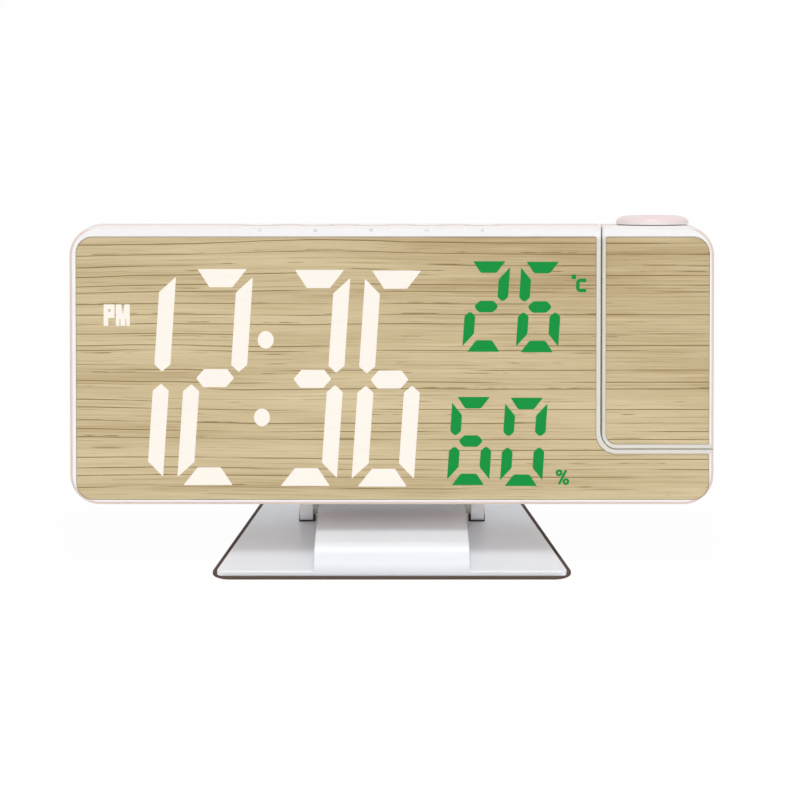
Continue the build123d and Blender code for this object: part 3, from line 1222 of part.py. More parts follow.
with BuildPart() as focus_ring:
    dome_base = TOP_Z + DOME_GAP
    rim_top = dome_base + DOME_RIM_H
    crown = dome_base + DOME_H
    with BuildSketch(OPTICS_PLANE):
        with BuildLine():
            Line((BORE_R, collar_base), (COLLAR_R, collar_base))
            Line((COLLAR_R, collar_base), (COLLAR_R, collar_top))
            Line((COLLAR_R, collar_top), (NECK_R, collar_top))
            Line((NECK_R, collar_top), (NECK_R, dome_base))
            Line((NECK_R, dome_base), (DOME_R, dome_base))
            Line((DOME_R, dome_base), (DOME_R, rim_top))
            EllipticalCenterArc((DOME_TOP_R, rim_top), DOME_R - DOME_TOP_R, crown - rim_top, arc_size=90)
            Line((DOME_TOP_R, crown), (BORE_R, crown - DOME_DISH))
            Line((BORE_R, crown - DOME_DISH), (BORE_R, collar_base))
        make_face()
    revolve(axis=OPTICS_AXIS)
    # finger notch in the rim
    with Locations((OPTICS_X + DOME_R + NOTCH_OUT, MID_Y, crown)):
        Sphere(NOTCH_R, mode=Mode.SUBTRACT)
keep(focus_ring, "focus_ring")

lens_top = cell_top - LENS_DEPTH
seat_z = lens_top - LENS_EDGE_T
PIN_Z = cell_base + GUIDE_RISE
with BuildPart() as lens_cell:
    add(turned_about_lens([(LENS_R - LENS_LEDGE, cell_base), (CELL_R, cell_base), (CELL_R, cell_top),
                           (LENS_R + LENS_FIT, cell_top), (LENS_R + LENS_FIT, seat_z),
                           (LENS_R - LENS_LEDGE, seat_z)]))
    with Locations(Location((OPTICS_X, MID_Y - CELL_R - GUIDE_LENGTH / 2 + GUIDE_ROOT, PIN_Z), (90, 0, 0))):
        Cylinder(GUIDE_PIN_R, GUIDE_LENGTH)
keep(lens_cell, "lens_cell")

with BuildPart() as projection_lens:
    with BuildSketch(OPTICS_PLANE):
        with BuildLine():
            half_r, half_h = cap_middle(LENS_R, LENS_BULGE)
            Line((0, seat_z), (LENS_R, seat_z))
            Line((LENS_R, seat_z), (LENS_R, lens_top))
            ThreePointArc((LENS_R, lens_top), (half_r, lens_top + half_h), (0, lens_top + LENS_BULGE))
            Line((0, lens_top + LENS_BULGE), (0, seat_z))
        make_face()
    revolve(axis=OPTICS_AXIS)
keep(projection_lens, "projection_lens")

retainer_top = cell_top - RETAINER_SINK
with BuildPart() as lens_retainer:
    add(turned_about_lens([(LENS_R - LENS_FIT, lens_top + LENS_FIT), (LENS_R, lens_top + LENS_FIT),
                           (LENS_R, retainer_top), (LENS_R - RETAINER_SINK, retainer_top),
                           (LENS_R - RETAINER_SINK, retainer_top - RETAINER_T)]))
keep(lens_retainer, "lens_retainer")

with BuildPart() as optics_barrel:
    add(turned_about_lens([(BORE_R, barrel_base), (BORE_R + BARREL_WALL, barrel_base),
                           (BORE_R + BARREL_WALL, barrel_top), (BORE_R, barrel_top)]))
    # bracket to the rear shell
    barrel_side_y = MID_Y + BORE_R + BARREL_WALL / 2
    with Locations((OPTICS_X, (barrel_side_y + MODULE_BACK_Y) / 2, (barrel_base + barrel_top) / 2)):
        Box(BRACKET_WIDTH, MODULE_BACK_Y - barrel_side_y, BRACKET_HEIGHT)
    # slot that stops the lens cell from turning
    with Locations((OPTICS_X, MID_Y - BORE_R - BARREL_WALL / 2, PIN_Z + FOCUS_TRAVEL / 2)):
        Box(2 * (GUIDE_PIN_R + FIT), 2 * BARREL_WALL, FOCUS_TRAVEL + 2 * (GUIDE_PIN_R + KEY_CLEAR),
            mode=Mode.SUBTRACT)
keep(optics_barrel, "optics_barrel")

LIP_Z = lamp_base + CONDENSER_RISE
with BuildPart() as lamp_housing:
    with BuildSketch(Plane.XY.offset(lamp_base)):
        with Locations((OPTICS_X, (MID_Y - LAMP_WIDTH / 2 + MODULE_BACK_Y) / 2)):
            Rectangle(LAMP_WIDTH, MODULE_BACK_Y - MID_Y + LAMP_WIDTH / 2)
    extrude(amount=LAMP_HEIGHT)
    with BuildSketch(Plane.XY.offset(lamp_base)):
        with Locations((OPTICS_X, MID_Y)):
            Circle(CONDENSER_R - CONDENSER_LEDGE)
    extrude(amount=LAMP_HEIGHT, mode=Mode.SUBTRACT)
    with BuildSketch(Plane.XY.offset(LIP_Z)):
        with Locations((OPTICS_X, MID_Y)):
            Circle(CONDENSER_R + CONDENSER_FIT)
    extrude(amount=LAMP_HEIGHT, mode=Mode.SUBTRACT)
    with BuildSketch(Plane.XY.offset(barrel_base - LCD_T - FIT)):
        with Locations((OPTICS_X, MID_Y)):
            Rectangle(LCD_SIZE + 2 * FIT, LCD_SIZE + 2 * FIT)
    extrude(amount=LAMP_HEIGHT, mode=Mode.SUBTRACT)
    with BuildSketch(Plane.XY.offset(lamp_base)):
        with Locations((OPTICS_X, MID_Y)):
            Rectangle(LAMP_BOARD_SIZE + 2 * FIT, LAMP_BOARD_SIZE + 2 * FIT)
    extrude(amount=LAMP_BOARD_T, mode=Mode.SUBTRACT)
keep(lamp_housing, "lamp_housing")

with BuildPart() as image_lcd:
    with BuildSketch(Plane.XY.offset(barrel_base - LCD_T - FIT)):
        with Locations((OPTICS_X, MID_Y)):
            Rectangle(LCD_SIZE, LCD_SIZE)
    extrude(amount=LCD_T)
keep(image_lcd, "image_lcd")

with BuildPart() as condenser_lens:
    with BuildSketch(OPTICS_PLANE):
        with BuildLine():
            half_r, half_h = cap_middle(CONDENSER_R, CONDENSER_BULGE)
            rim_z = LIP_Z + CONDENSER_EDGE
            Line((0, LIP_Z), (CONDENSER_R, LIP_Z))
            Line((CONDENSER_R, LIP_Z), (CONDENSER_R, rim_z))
            ThreePointArc((CONDENSER_R, rim_z), (half_r, rim_z + half_h), (0, rim_z + CONDENSER_BULGE))
            Line((0, rim_z + CONDENSER_BULGE), (0, LIP_Z))
        make_face()
    revolve(axis=OPTICS_AXIS)
keep(condenser_lens, "condenser_lens")

with BuildPart() as lamp_board:
    with BuildSketch(Plane.XY.offset(lamp_base)):
        with Locations((OPTICS_X, MID_Y)):
            Rectangle(LAMP_BOARD_SIZE, LAMP_BOARD_SIZE)
    extrude(amount=LAMP_BOARD_T)
keep(lamp_board, "lamp_board")

with BuildPart() as lamp_led:
    with BuildSketch(Plane.XY.offset(lamp_base + LAMP_BOARD_T)):
        with Locations((OPTICS_X, MID_Y)):
            Rectangle(LAMP_LED_SIZE, LAMP_LED_SIZE)
    extrude(amount=LAMP_LED_T)
keep(lamp_led, "lamp_led")

# leads: two halves of one cable that meet on the swivel axis, where the cable twists
LEAD_MEET_X = INNER_WALL_X - LEAD_MEET_INSET
SOCKET_FACE_X = LEAD_MEET_X - BOARD_LEAD_LENGTH
with BuildPart() as lamp_lead:
    with BuildLine():
        FilletPolyline((LEAD_MEET_X, MID_Y, SWIVEL_Z), (OPTICS_X, MID_Y, SWIVEL_Z),
                       (OPTICS_X, MID_Y, lamp_base), radius=LEAD_BEND_R)
    with BuildSketch(Plane(origin=(LEAD_MEET_X, MID_Y, SWIVEL_Z), z_dir=(1, 0, 0))):
        Circle(LEAD_R)
    sweep()
keep(lamp_lead, "lamp_lead")

with BuildPart() as board_lead:
    with BuildSketch(Plane.YZ.offset(SOCKET_FACE_X)):
        with Locations((MID_Y, SWIVEL_Z)):
            Circle(LEAD_R)
    extrude(amount=BOARD_LEAD_LENGTH)
keep(board_lead, "board_lead")

with BuildPart() as lead_socket:
    with BuildSketch(front_plane(MID_Y + 2 * LEAD_R)):
        with Locations((SOCKET_FACE_X - LEAD_SOCKET_LENGTH / 2, SWIVEL_Z)):
            Rectangle(LEAD_SOCKET_LENGTH, LEAD_SOCKET_HEIGHT)
    extrude(amount=MID_Y + 2 * LEAD_R - BOARD_BACK_Y)
keep(lead_socket, "lead_socket")
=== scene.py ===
import json
import logging
import math
from dataclasses import dataclass, field, replace
from enum import Enum
from typing import Any, ClassVar, Iterable

import bpy
import numpy as np
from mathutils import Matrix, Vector


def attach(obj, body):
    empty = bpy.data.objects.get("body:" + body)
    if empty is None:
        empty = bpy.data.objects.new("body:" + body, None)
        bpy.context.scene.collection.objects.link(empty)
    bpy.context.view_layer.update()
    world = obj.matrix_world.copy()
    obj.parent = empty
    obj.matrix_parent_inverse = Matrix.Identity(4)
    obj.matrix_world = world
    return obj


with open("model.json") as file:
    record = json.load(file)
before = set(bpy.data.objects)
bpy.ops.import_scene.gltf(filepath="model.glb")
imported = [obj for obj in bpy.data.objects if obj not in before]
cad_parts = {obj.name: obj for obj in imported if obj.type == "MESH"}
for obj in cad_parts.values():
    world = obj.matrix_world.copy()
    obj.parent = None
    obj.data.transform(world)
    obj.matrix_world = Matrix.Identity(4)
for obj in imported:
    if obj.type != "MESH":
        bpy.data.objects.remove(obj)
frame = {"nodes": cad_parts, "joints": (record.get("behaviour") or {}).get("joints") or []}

LOG = logging.getLogger("projection_clock")
MM = 0.001
Array = np.ndarray
Pair = tuple[float, float]
Triple = tuple[float, float, float]
Colour = Triple
Socket = bpy.types.NodeSocket
Material = bpy.types.Material


# ---------------------------------------------------------------- colours and places
def srgb(red: float, green: float, blue: float) -> Colour:
    """Turn a colour as it is seen, 0 to 255 a channel, into the linear values that shaders take.

    Each channel c in 0..1 becomes c / 12.92 below 0.04045, and ((c + 0.055) / 1.055) to the 2.4 above.

    Args:
        red: Red channel, 0 to 255.
        green: Green channel, 0 to 255.
        blue: Blue channel, 0 to 255.

    Returns:
        The linear red, green and blue.
    """
    seen = np.array([red, green, blue]) / 255
    linear = np.where(seen <= 0.04045, seen / 12.92, ((seen + 0.055) / 1.055) ** 2.4)
    return tuple(float(channel) for channel in linear)


WHITE: Colour = (1.0, 1.0, 1.0)
BLACK: Colour = (0.0, 0.0, 0.0)


@dataclass(frozen=True)
class ClockSpace:
    """The clock's own upright space: origin on the tilt hinge, x to the right, y back, z up the face.

    Attributes:
        hinge: Point on the tilt hinge's axis in the row frame, in metres.
        lean: Backward lean of the clock as it stands, in radians.
    """

    hinge: Triple
    lean: float

    @classmethod
    def from_frame(cls, joints: Iterable[dict[str, Any]]) -> "ClockSpace":
        """Read the hinge's place from the tilt joint and the lean from the focus ring's axis.

        Args:
            joints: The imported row's joints.

        Returns:
            The clock's space.
        """
        named = {joint["name"]: joint for joint in joints}
        _, back, up = named["focus_turn"]["axis"]
        return cls(tuple(named["tilt"]["pos_m"]), math.atan2(back, up))

    @property
    def turn(self) -> Array:
        """Rotation matrix that leans upright coordinates back about the x axis."""
        c, s = math.cos(self.lean), math.sin(self.lean)
        return np.array([[1, 0, 0], [0, c, s], [0, -s, c]])

    @property
    def shift(self) -> list[float]:
        """Place of the hinge in axes that lean like the upright space but start at the row's origin."""
        return (np.array(self.hinge) @ self.turn).tolist()

    def to_world(self, points: Array) -> Array:
        """Lean upright points, in metres, into the row frame: hinge + turn times point."""
        return points @ self.turn.T + np.array(self.hinge)

    def box(self, node: str) -> tuple[list[float], list[float]]:
        """Lowest and highest corner of a CAD node, measured in the upright space.

        Args:
            node: Name of the CAD node.

        Returns:
            The two corners, in metres.
        """
        mesh = frame["nodes"][node].data
        flat = np.empty(len(mesh.vertices) * 3)
        mesh.vertices.foreach_get("co", flat)
        upright = (flat.reshape(-1, 3) - np.array(self.hinge)) @ self.turn
        return upright.min(axis=0).tolist(), upright.max(axis=0).tolist()


SPACE = ClockSpace.from_frame(frame["joints"])


# ---------------------------------------------------------------- meshes
@dataclass
class Surface:
    """Vertices and faces of one piece, in metres, before it becomes a Blender object.

    Attributes:
        points: Vertices, one row each.
        faces: Faces as lists of vertex numbers.
    """

    points: Array
    faces: list[list[int]]

    @classmethod
    def joined(cls, parts: Iterable["Surface"]) -> "Surface":
        """Put several surfaces into one, each one's numbers shifted past those before it.

        Args:
            parts: The surfaces.

        Returns:
            The one surface.
        """
        points, faces, shift = [], [], 0
        for part in parts:
            points.append(part.points)
            faces += [[number + shift for number in face] for face in part.faces]
            shift += len(part.points)
        return cls(np.vstack(points), faces)

    def placed(self) -> "Surface":
        """Return the surface leaned from the upright space into the row frame."""
        return Surface(SPACE.to_world(self.points), self.faces)


def rounded(corners: Array, radii: Array | float, steps: int = 5) -> Array:
    """Round the corners of a closed outline.

    At each corner two tangent points lie r / tan(half angle) along its two sides, at most 0.48 of a
    side, and a quadratic curve (1-t)^2 A + 2t(1-t) P + t^2 B joins them round the corner P.

    Args:
        corners: Corner points, one row each, in order.
        radii: Radius of each corner, or one radius for all.
        steps: Points along each rounded corner.

    Returns:
        The points of the rounded outline.
    """
    before, after = np.roll(corners, 1, axis=0), np.roll(corners, -1, axis=0)
    side_a, side_b = before - corners, after - corners
    long_a = np.linalg.norm(side_a, axis=1, keepdims=True)
    long_b = np.linalg.norm(side_b, axis=1, keepdims=True)
    cosine = np.sum(side_a * side_b, axis=1, keepdims=True) / (long_a * long_b)
    half = np.arccos(np.clip(cosine, -1, 1)) / 2
    radius = np.broadcast_to(np.asarray(radii, float).reshape(-1, 1), long_a.shape)
    reach = np.minimum(radius / np.tan(half), 0.48 * np.minimum(long_a, long_b))
    start = (corners + side_a / long_a * reach)[:, None, :]
    end = (corners + side_b / long_b * reach)[:, None, :]
    t = np.linspace(0, 1, steps)[None, :, None]
    curve = (1 - t) ** 2 * start + 2 * t * (1 - t) * corners[:, None, :] + t ** 2 * end
    return curve.reshape(-1, 2)


def disc(radius_x: float, radius_z: float, steps: int = 40) -> Array:
    """Outline of an ellipse about the origin: (rx cos a, rz sin a) for a round the full turn."""
    angle = np.linspace(0, math.tau, steps, endpoint=False)
    return np.column_stack([radius_x * np.cos(angle), radius_z * np.sin(angle)])


def box(left: float, right: float, low: float, high: float) -> Array:
    """Outline of a rectangle, anticlockwise from its lower left corner."""
    return np.array([(left, low), (right, low), (right, high), (left, high)])


def stroke(path: Array, width: float) -> Array:
    """Outline of a flat strip of even width along a path.

    The path's direction at a point is the mean of the directions before and after it, and the two
    edges stand half a width to each side of the point, at right angles to that direction.

    Args:
        path: Points of the middle line, one row each.
        width: The strip's width.

    Returns:
        The outline: one edge out and the other edge back.
    """
    along = np.gradient(path, axis=0)
    along /= np.linalg.norm(along, axis=1, keepdims=True)
    across = np.column_stack([-along[:, 1], along[:, 0]]) * width / 2
    return np.vstack([path + across, (path - across)[::-1]])


def arc(centre: Pair, radius: float, start: float, end: float, steps: int) -> Array:
    """Points of a circular arc: centre + radius (cos a, sin a), a from start to end in degrees."""
    angle = np.radians(np.linspace(start, end, steps))
    return np.column_stack([centre[0] + radius * np.cos(angle), centre[1] + radius * np.sin(angle)])


def plate(outline: Array, face_y: float, thickness: float) -> Surface:
    """Thin closed plate that stands across the clock's depth.

    The outline (u, w) becomes the ring (u, y, w) at the front y = face_y - thickness and again at
    y = face_y. Walls join the rings, and one face closes each.

    Args:
        outline: Closed outline in x and z, in metres, going round anticlockwise as the reader sees it.
        face_y: Depth of the surface that the plate lies on.
        thickness: How far the plate stands in front of that surface.

    Returns:
        The plate in the upright space.
    """
    count = len(outline)
    rings = [np.column_stack([outline[:, 0], np.full(count, y), outline[:, 1]])
             for y in (face_y - thickness, face_y)]
    near = np.arange(count)
    side = np.column_stack([near, near + count, np.roll(near, -1) + count, np.roll(near, -1)])
    faces = [near.tolist(), (near[::-1] + count).tolist()] + side.tolist()
    return Surface(np.vstack(rings), faces)


def make_piece(name: str, surface: Surface, body: str, material: Material) -> None:
    """Turn a surface into an object at the origin that rides on a CAD body.

    Args:
        name: Name of the piece.
        surface: Its mesh, in the row frame.
        body: CAD body that carries it.
        material: Its material.
    """
    mesh = bpy.data.meshes.new(name)
    mesh.from_pydata(surface.points.tolist(), [], surface.faces)
    mesh.validate()
    mesh.materials.append(material)
    piece = bpy.data.objects.new(name, mesh)
    bpy.context.scene.collection.objects.link(piece)
    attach(piece, body)
    LOG.info("%s: %d faces on %s", name, len(mesh.polygons), body)


# ---------------------------------------------------------------- node graphs
class Value:
    """A number that a material works out at each point: plain arithmetic on it adds math nodes."""

    def __init__(self, graph: "Graph", socket: Socket) -> None:
        """Hold an output socket of a graph."""
        self.graph, self.socket = graph, socket

    def __add__(self, other: Any) -> "Value":
        """This value plus another."""
        return self.graph.math("ADD", self, other)

    def __sub__(self, other: Any) -> "Value":
        """This value less another."""
        return self.graph.math("SUBTRACT", self, other)

    def __rsub__(self, other: float) -> "Value":
        """A number less this value."""
        return self.graph.math("SUBTRACT", other, self)

    def __mul__(self, other: Any) -> "Value":
        """This value times another."""
        return self.graph.math("MULTIPLY", self, other)

    def __abs__(self) -> "Value":
        """This value without its sign."""
        return self.graph.math("ABSOLUTE", self)

    def at_least(self, other: Any) -> "Value":
        """The larger of this value and another."""
        return self.graph.math("MAXIMUM", self, other)

    def at_most(self, other: Any) -> "Value":
        """The smaller of this value and another."""
        return self.graph.math("MINIMUM", self, other)

    def span(self, low: float, high: float, to_low: float = 0.0, to_high: float = 1.0,
             kind: str = "LINEAR") -> "Value":
        """Carry this value from low..high to to_low..to_high, clamped.

        Args:
            low: Value that becomes to_low.
            high: Value that becomes to_high.
            to_low: Result at and beyond low.
            to_high: Result at and beyond high.
            kind: Blender's name of the interpolation.

        Returns:
            The carried value.
        """
        made = self.graph.node("MapRange", {"Value": self, "From Min": low, "From Max": high,
                                            "To Min": to_low, "To Max": to_high}, interpolation_type=kind)
        return Value(self.graph, made.outputs["Result"])

    def between(self, low: float, high: float) -> "Value":
        """Carry a noise's usual reach, 0.3 to 0.7, to low..high."""
        return self.span(0.3, 0.7, low, high)


class Graph:
    """A material's node tree, with short calls to add and join nodes."""

    def __init__(self, name: str) -> None:
        """Start an empty material with its output node.

        Args:
            name: Name of the material.
        """
        self.material = bpy.data.materials.new(name)
        self.material.use_nodes = True
        self.tree = self.material.node_tree
        self.tree.nodes.clear()
        self.output = self.tree.nodes.new("ShaderNodeOutputMaterial")

    def node(self, kind: str, inputs: dict[str | int, Any] | None = None, **settings: Any) -> bpy.types.Node:
        """Add a node.

        Args:
            kind: Its type without the ShaderNode prefix.
            inputs: Constants, values or other nodes' output sockets for its inputs, by name or number.
            **settings: Attributes of the node.

        Returns:
            The node.
        """
        made = self.tree.nodes.new("ShaderNode" + kind)
        for key, setting in settings.items():
            setattr(made, key, setting)
        for key, given in (inputs or {}).items():
            source, socket = getattr(given, "socket", given), made.inputs[key]
            if isinstance(source, Socket):
                self.tree.links.new(source, socket)
            else:
                socket.default_value = (*source, 1.0) if socket.type == "RGBA" else source
        return made

    def math(self, operation: str, first: Any, second: Any = 0.0) -> Value:
        """Arithmetic on two constants, values or sockets."""
        return Value(self, self.node("Math", {0: first, 1: second}, operation=operation).outputs["Value"])

    def place(self, scale: float | Triple = 1.0, upright: bool = False) -> Socket:
        """Object coordinates, stretched.

        Args:
            scale: Stretch in cycles a metre, along all axes or each.
            upright: Whether they are first turned so that z runs up the clock's face.

        Returns:
            The vector socket.
        """
        here = self.node("TexCoord").outputs["Object"]
        turn = (SPACE.lean if upright else 0.0, 0.0, 0.0)
        turned = self.node("Mapping", {"Vector": here, "Rotation": turn}).outputs["Vector"]
        stretch = (scale,) * 3 if isinstance(scale, float) else scale
        return self.node("Mapping", {"Vector": turned, "Scale": stretch}).outputs["Vector"]

    def upright_place(self) -> list[Value]:
        """The three upright coordinates of a point, from the row's origin, in metres."""
        parts = self.node("SeparateXYZ", {"Vector": self.place(upright=True)})
        return [Value(self, socket) for socket in parts.outputs]

    def vector(self, x: Any = 0.0, y: Any = 0.0, z: Any = 0.0) -> Socket:
        """Vector of three constants or values."""
        return self.node("CombineXYZ", {"X": x, "Y": y, "Z": z}).outputs["Vector"]

    def noise(self, vector: Socket, detail: float = 1.0, roughness: float = 0.5) -> Value:
        """Fractal noise, 0 to 1, at one cycle a unit of the given vector.

        Args:
            vector: Place to read it at.
            detail: How many finer layers it has.
            roughness: Strength of each layer against the one before.

        Returns:
            The noise.
        """
        made = self.node("TexNoise", {"Vector": vector, "Scale": 1.0, "Detail": detail,
                                      "Roughness": roughness})
        return Value(self, made.outputs["Fac"])

    def ramp(self, factor: Value, stops: list[tuple[float, Colour]]) -> Socket:
        """Colour ramp over a factor.

        Args:
            factor: The value that drives it.
            stops: Position and linear colour of each stop.

        Returns:
            The colour socket.
        """
        made = self.node("ValToRGB", {"Fac": factor})
        ramp = made.color_ramp
        while len(ramp.elements) < len(stops):
            ramp.elements.new(0.5)
        for element, (position, colour) in zip(ramp.elements, stops):
            element.position = position
            element.color = (*colour, 1.0)
        return made.outputs["Color"]

    def mix(self, factor: Any, under: Any, over: Any, blend: str = "MIX") -> Socket:
        """Blend two colours.

        Args:
            factor: How much of the upper colour, 0 to 1.
            under: Lower colour or socket.
            over: Upper colour or socket.
            blend: Blender's name of the blend.

        Returns:
            The colour socket.
        """
        factor_input, under_input, over_input, colour_output = 0, 6, 7, 2
        made = self.node("Mix", {factor_input: factor, under_input: under, over_input: over},
                         data_type="RGBA", blend_type=blend)
        return made.outputs[colour_output]

    def bump(self, height: Any, distance: float, strength: float = 1.0) -> Socket:
        """Surface normal from a height of 0 to 1 over a distance in metres."""
        return self.node("Bump", {"Height": height, "Distance": distance,
                                  "Strength": strength}).outputs["Normal"]

    def close(self, shader: Socket) -> Material:
        """Join the last shader to the output and return the finished material."""
        self.tree.links.new(shader, self.output.inputs["Surface"])
        return self.material


# ---------------------------------------------------------------- finishes
@dataclass(frozen=True)
class Recipe:
    """What every finish has: a name, and inputs that it works out for one principled shader.

    Attributes:
        name: Name of the material.
    """

    name: str

    def build(self) -> Material:
        """Make the material."""
        graph = Graph(self.name)
        return graph.close(graph.node("BsdfPrincipled", self.inputs(graph)).outputs["BSDF"])

    def inputs(self, graph: Graph) -> dict[str, Any]:
        """Build what drives the shader.

        Args:
            graph: The material's graph.

        Returns:
            The shader's inputs by name, as constants, values or sockets.
        """
        raise NotImplementedError


@dataclass(frozen=True)
class Plastic(Recipe):
    """Moulded plastic with a spark-eroded grain, slight flow marks and a little wear of its gloss.

    Attributes:
        colour: Its linear colour.
        roughness: Mean roughness.
        grain: Depth of the surface grain, in metres.
        pitch: Spacing of the grain, in metres.
        tint: How much the colour varies from place to place.
        flow: Flow marks, in cycles a metre.
        wear: How far the roughness strays from its mean.
    """

    colour: Colour
    roughness: float = 0.42
    grain: float = 0.00001
    pitch: float = 0.00035
    tint: float = 0.03
    flow: float = 35.0
    wear: float = 0.05

    def inputs(self, graph: Graph) -> dict[str, Any]:
        """Colour under its flow marks, a gloss that strays with them, and the grain."""
        broad = graph.noise(graph.place(self.flow), detail=2.0)
        fine = graph.noise(graph.place(1 / self.pitch), detail=2.0, roughness=0.6)
        marks = graph.ramp(broad, [(0.35, (1 - self.tint,) * 3), (0.65, WHITE)])
        return {"Base Color": graph.mix(1.0, self.base(graph), marks, "MULTIPLY"),
                "Roughness": broad.between(self.roughness - self.wear, self.roughness + self.wear),
                "Normal": graph.bump(fine, self.grain)}

    def base(self, graph: Graph) -> Any:
        """Colour before the flow marks: one colour all over."""
        return self.colour


@dataclass(frozen=True)
class ReflectionCrownedPlastic(Plastic):
    """Moulded plastic of the focus ring, white at the flank, with a painted pinkish reflection towards its
    crown.

    Attributes:
        crown: Linear colour of the painted reflection on the crown.
        depth: How far below the top the painted reflection starts and has fully come, in metres.
    """

    crown: Colour = srgb(240, 220, 221)
    depth: Pair = (0.0022, 0.0013)

    def base(self, graph: Graph) -> Socket:
        """Colour before the flow marks: the height under the ring's top mixes flank and the painted
        reflection.
        """
        top = SPACE.box("focus_ring")[1][2] + SPACE.shift[2]
        height = graph.upright_place()[2]
        # painted reflection: the crown's pinkish tint stands for the glints on the ring's top
        return graph.mix(height.span(top - self.depth[0], top - self.depth[1]), self.colour, self.crown)


@dataclass(frozen=True)
class ShadeRimmedPlastic(Plastic):
    """Moulded plastic of the shells, white at the front and back, with pale tan painted shade round the
    sides and grey painted shade along the seam.

    Attributes:
        rim: Linear colour of the sides, a painted shade of the rounded edges that turn away from the light.
        seam: Linear colour of the painted shade on the frames along the seam of clock and projector, in
            front.
        seam_corner: Radius of the projector's inner corner, in metres.
        seam_gap: Width of the seam, in metres.
        seam_frame: Width of the projector's frame along the seam, in metres.
        seam_shade_reach: How far on each side of the seam its painted shade reaches, in metres.
        corner: Radius of the casing's corners, in metres.
        band: How far in from the casing's outline the painted shade of the sides reaches, in metres.
        blend: Width over which it fades, in metres.
        depth: Depth of the casing, in metres.
        fade: How far behind the front the top starts to take on the painted shade, and has it, in metres.
        paler: How much of the painted shade the top lacks in front.
    """

    rim: Colour = srgb(231, 212, 203)
    seam: Colour = srgb(223, 219, 209)
    seam_corner: float = 0.0047
    seam_gap: float = 0.00035
    seam_frame: float = 0.00125
    seam_shade_reach: float = 0.0014
    corner: float = 0.0088
    band: float = 0.0007
    blend: float = 0.00015
    depth: float = 0.024
    fade: Pair = (0.005, 0.015)
    paler: float = 0.65

    def base(self, graph: Graph) -> Socket:
        """Colour before the flow marks.

        Within the band along the casing's outline it has the sides' tan, a painted shade of the rounded
        edges that turn away from the light, but the hinge's lugs, below the base and behind the back, are
        white again, and on the top that painted shade comes in from the front to the back. The front along
        the seam, round the projector's outline, is a little greyer, a painted shade of the seam.
        """
        low, high = SPACE.box("front_housing")
        x, y, z = graph.upright_place()
        height, behind = z - SPACE.shift[2], y - (SPACE.shift[1] + low[1])
        middle, half = (low[2] + high[2]) / 2, (high[2] - low[2]) / 2
        out = self._beyond(abs(x) - (high[0] - self.corner), abs(height - middle) - (half - self.corner),
                           self.corner)
        above_base = height.span(low[2] - 2 * self.blend, low[2] - self.blend)
        before_back = behind.span(self.depth, self.depth + self.blend, 1.0, 0.0)
        # painted shade: the top darkens from front to back towards its rear rounded edge
        on_top = height.span(high[2] - 2 * self.band, high[2] - self.band)
        kept = 1.0 - on_top * behind.span(*self.fade, self.paler, 0.0)
        # painted shade: the tan band along the outline stands for the shade of the rounded edges turned away
        # from the light
        share = out.span(-self.band - self.blend, -self.band) * (above_base * before_back) * kept
        # painted shade: the frames are greyed along the seam, for the shade of its edges
        shell = graph.mix(self._seam_shade_share(x, height, behind, high[2]), self.colour, self.seam)
        return graph.mix(share, shell, self.rim)

    def _seam_shade_share(self, along: Value, height: Value, behind: Value, top: float) -> Value:
        """Share of the seam's painted shade: all in front near the seam, none on the upper frame and behind.

        Args:
            along: Distance along the clock's width.
            height: Height above the hinge.
            behind: Depth behind the casing's front.
            top: Height of the casing's top, in metres.

        Returns:
            The share, 0 to 1.
        """
        panel, reach = SPACE.box("projector_panel")[0], self.seam_shade_reach
        inset = self.seam_corner - self.seam_frame
        out = self._beyond(panel[0] + inset - along, panel[2] + inset - height, self.seam_corner)
        close = abs(out - self.seam_gap / 2).span(reach, reach + 2 * self.blend, 1.0, 0.0)
        fore = behind.span(reach / 3, 2 * reach / 3, 1.0, 0.0)
        below = height.span(top - 3 * reach, top - 2 * reach, 1.0, 0.0)
        return close * (fore * below)

    @staticmethod
    def _beyond(across: Value, upward: Value, corner: float) -> Value:
        """Distance outside a rounded corner of radius r: length(max(q, 0)) + min(max(qx, qz), 0) - r.

        Args:
            across: Reach qx beyond the corner circle's middle, sideways.
            upward: Reach qz beyond it, upwards.
            corner: The radius r, in metres.

        Returns:
            The distance, negative inside.
        """
        graph = across.graph
        outer = graph.node("VectorMath", {0: graph.vector(across.at_least(0.0), upward.at_least(0.0))},
                           operation="LENGTH")
        return Value(graph, outer.outputs["Value"]) + across.at_least(upward).at_most(0.0) - corner


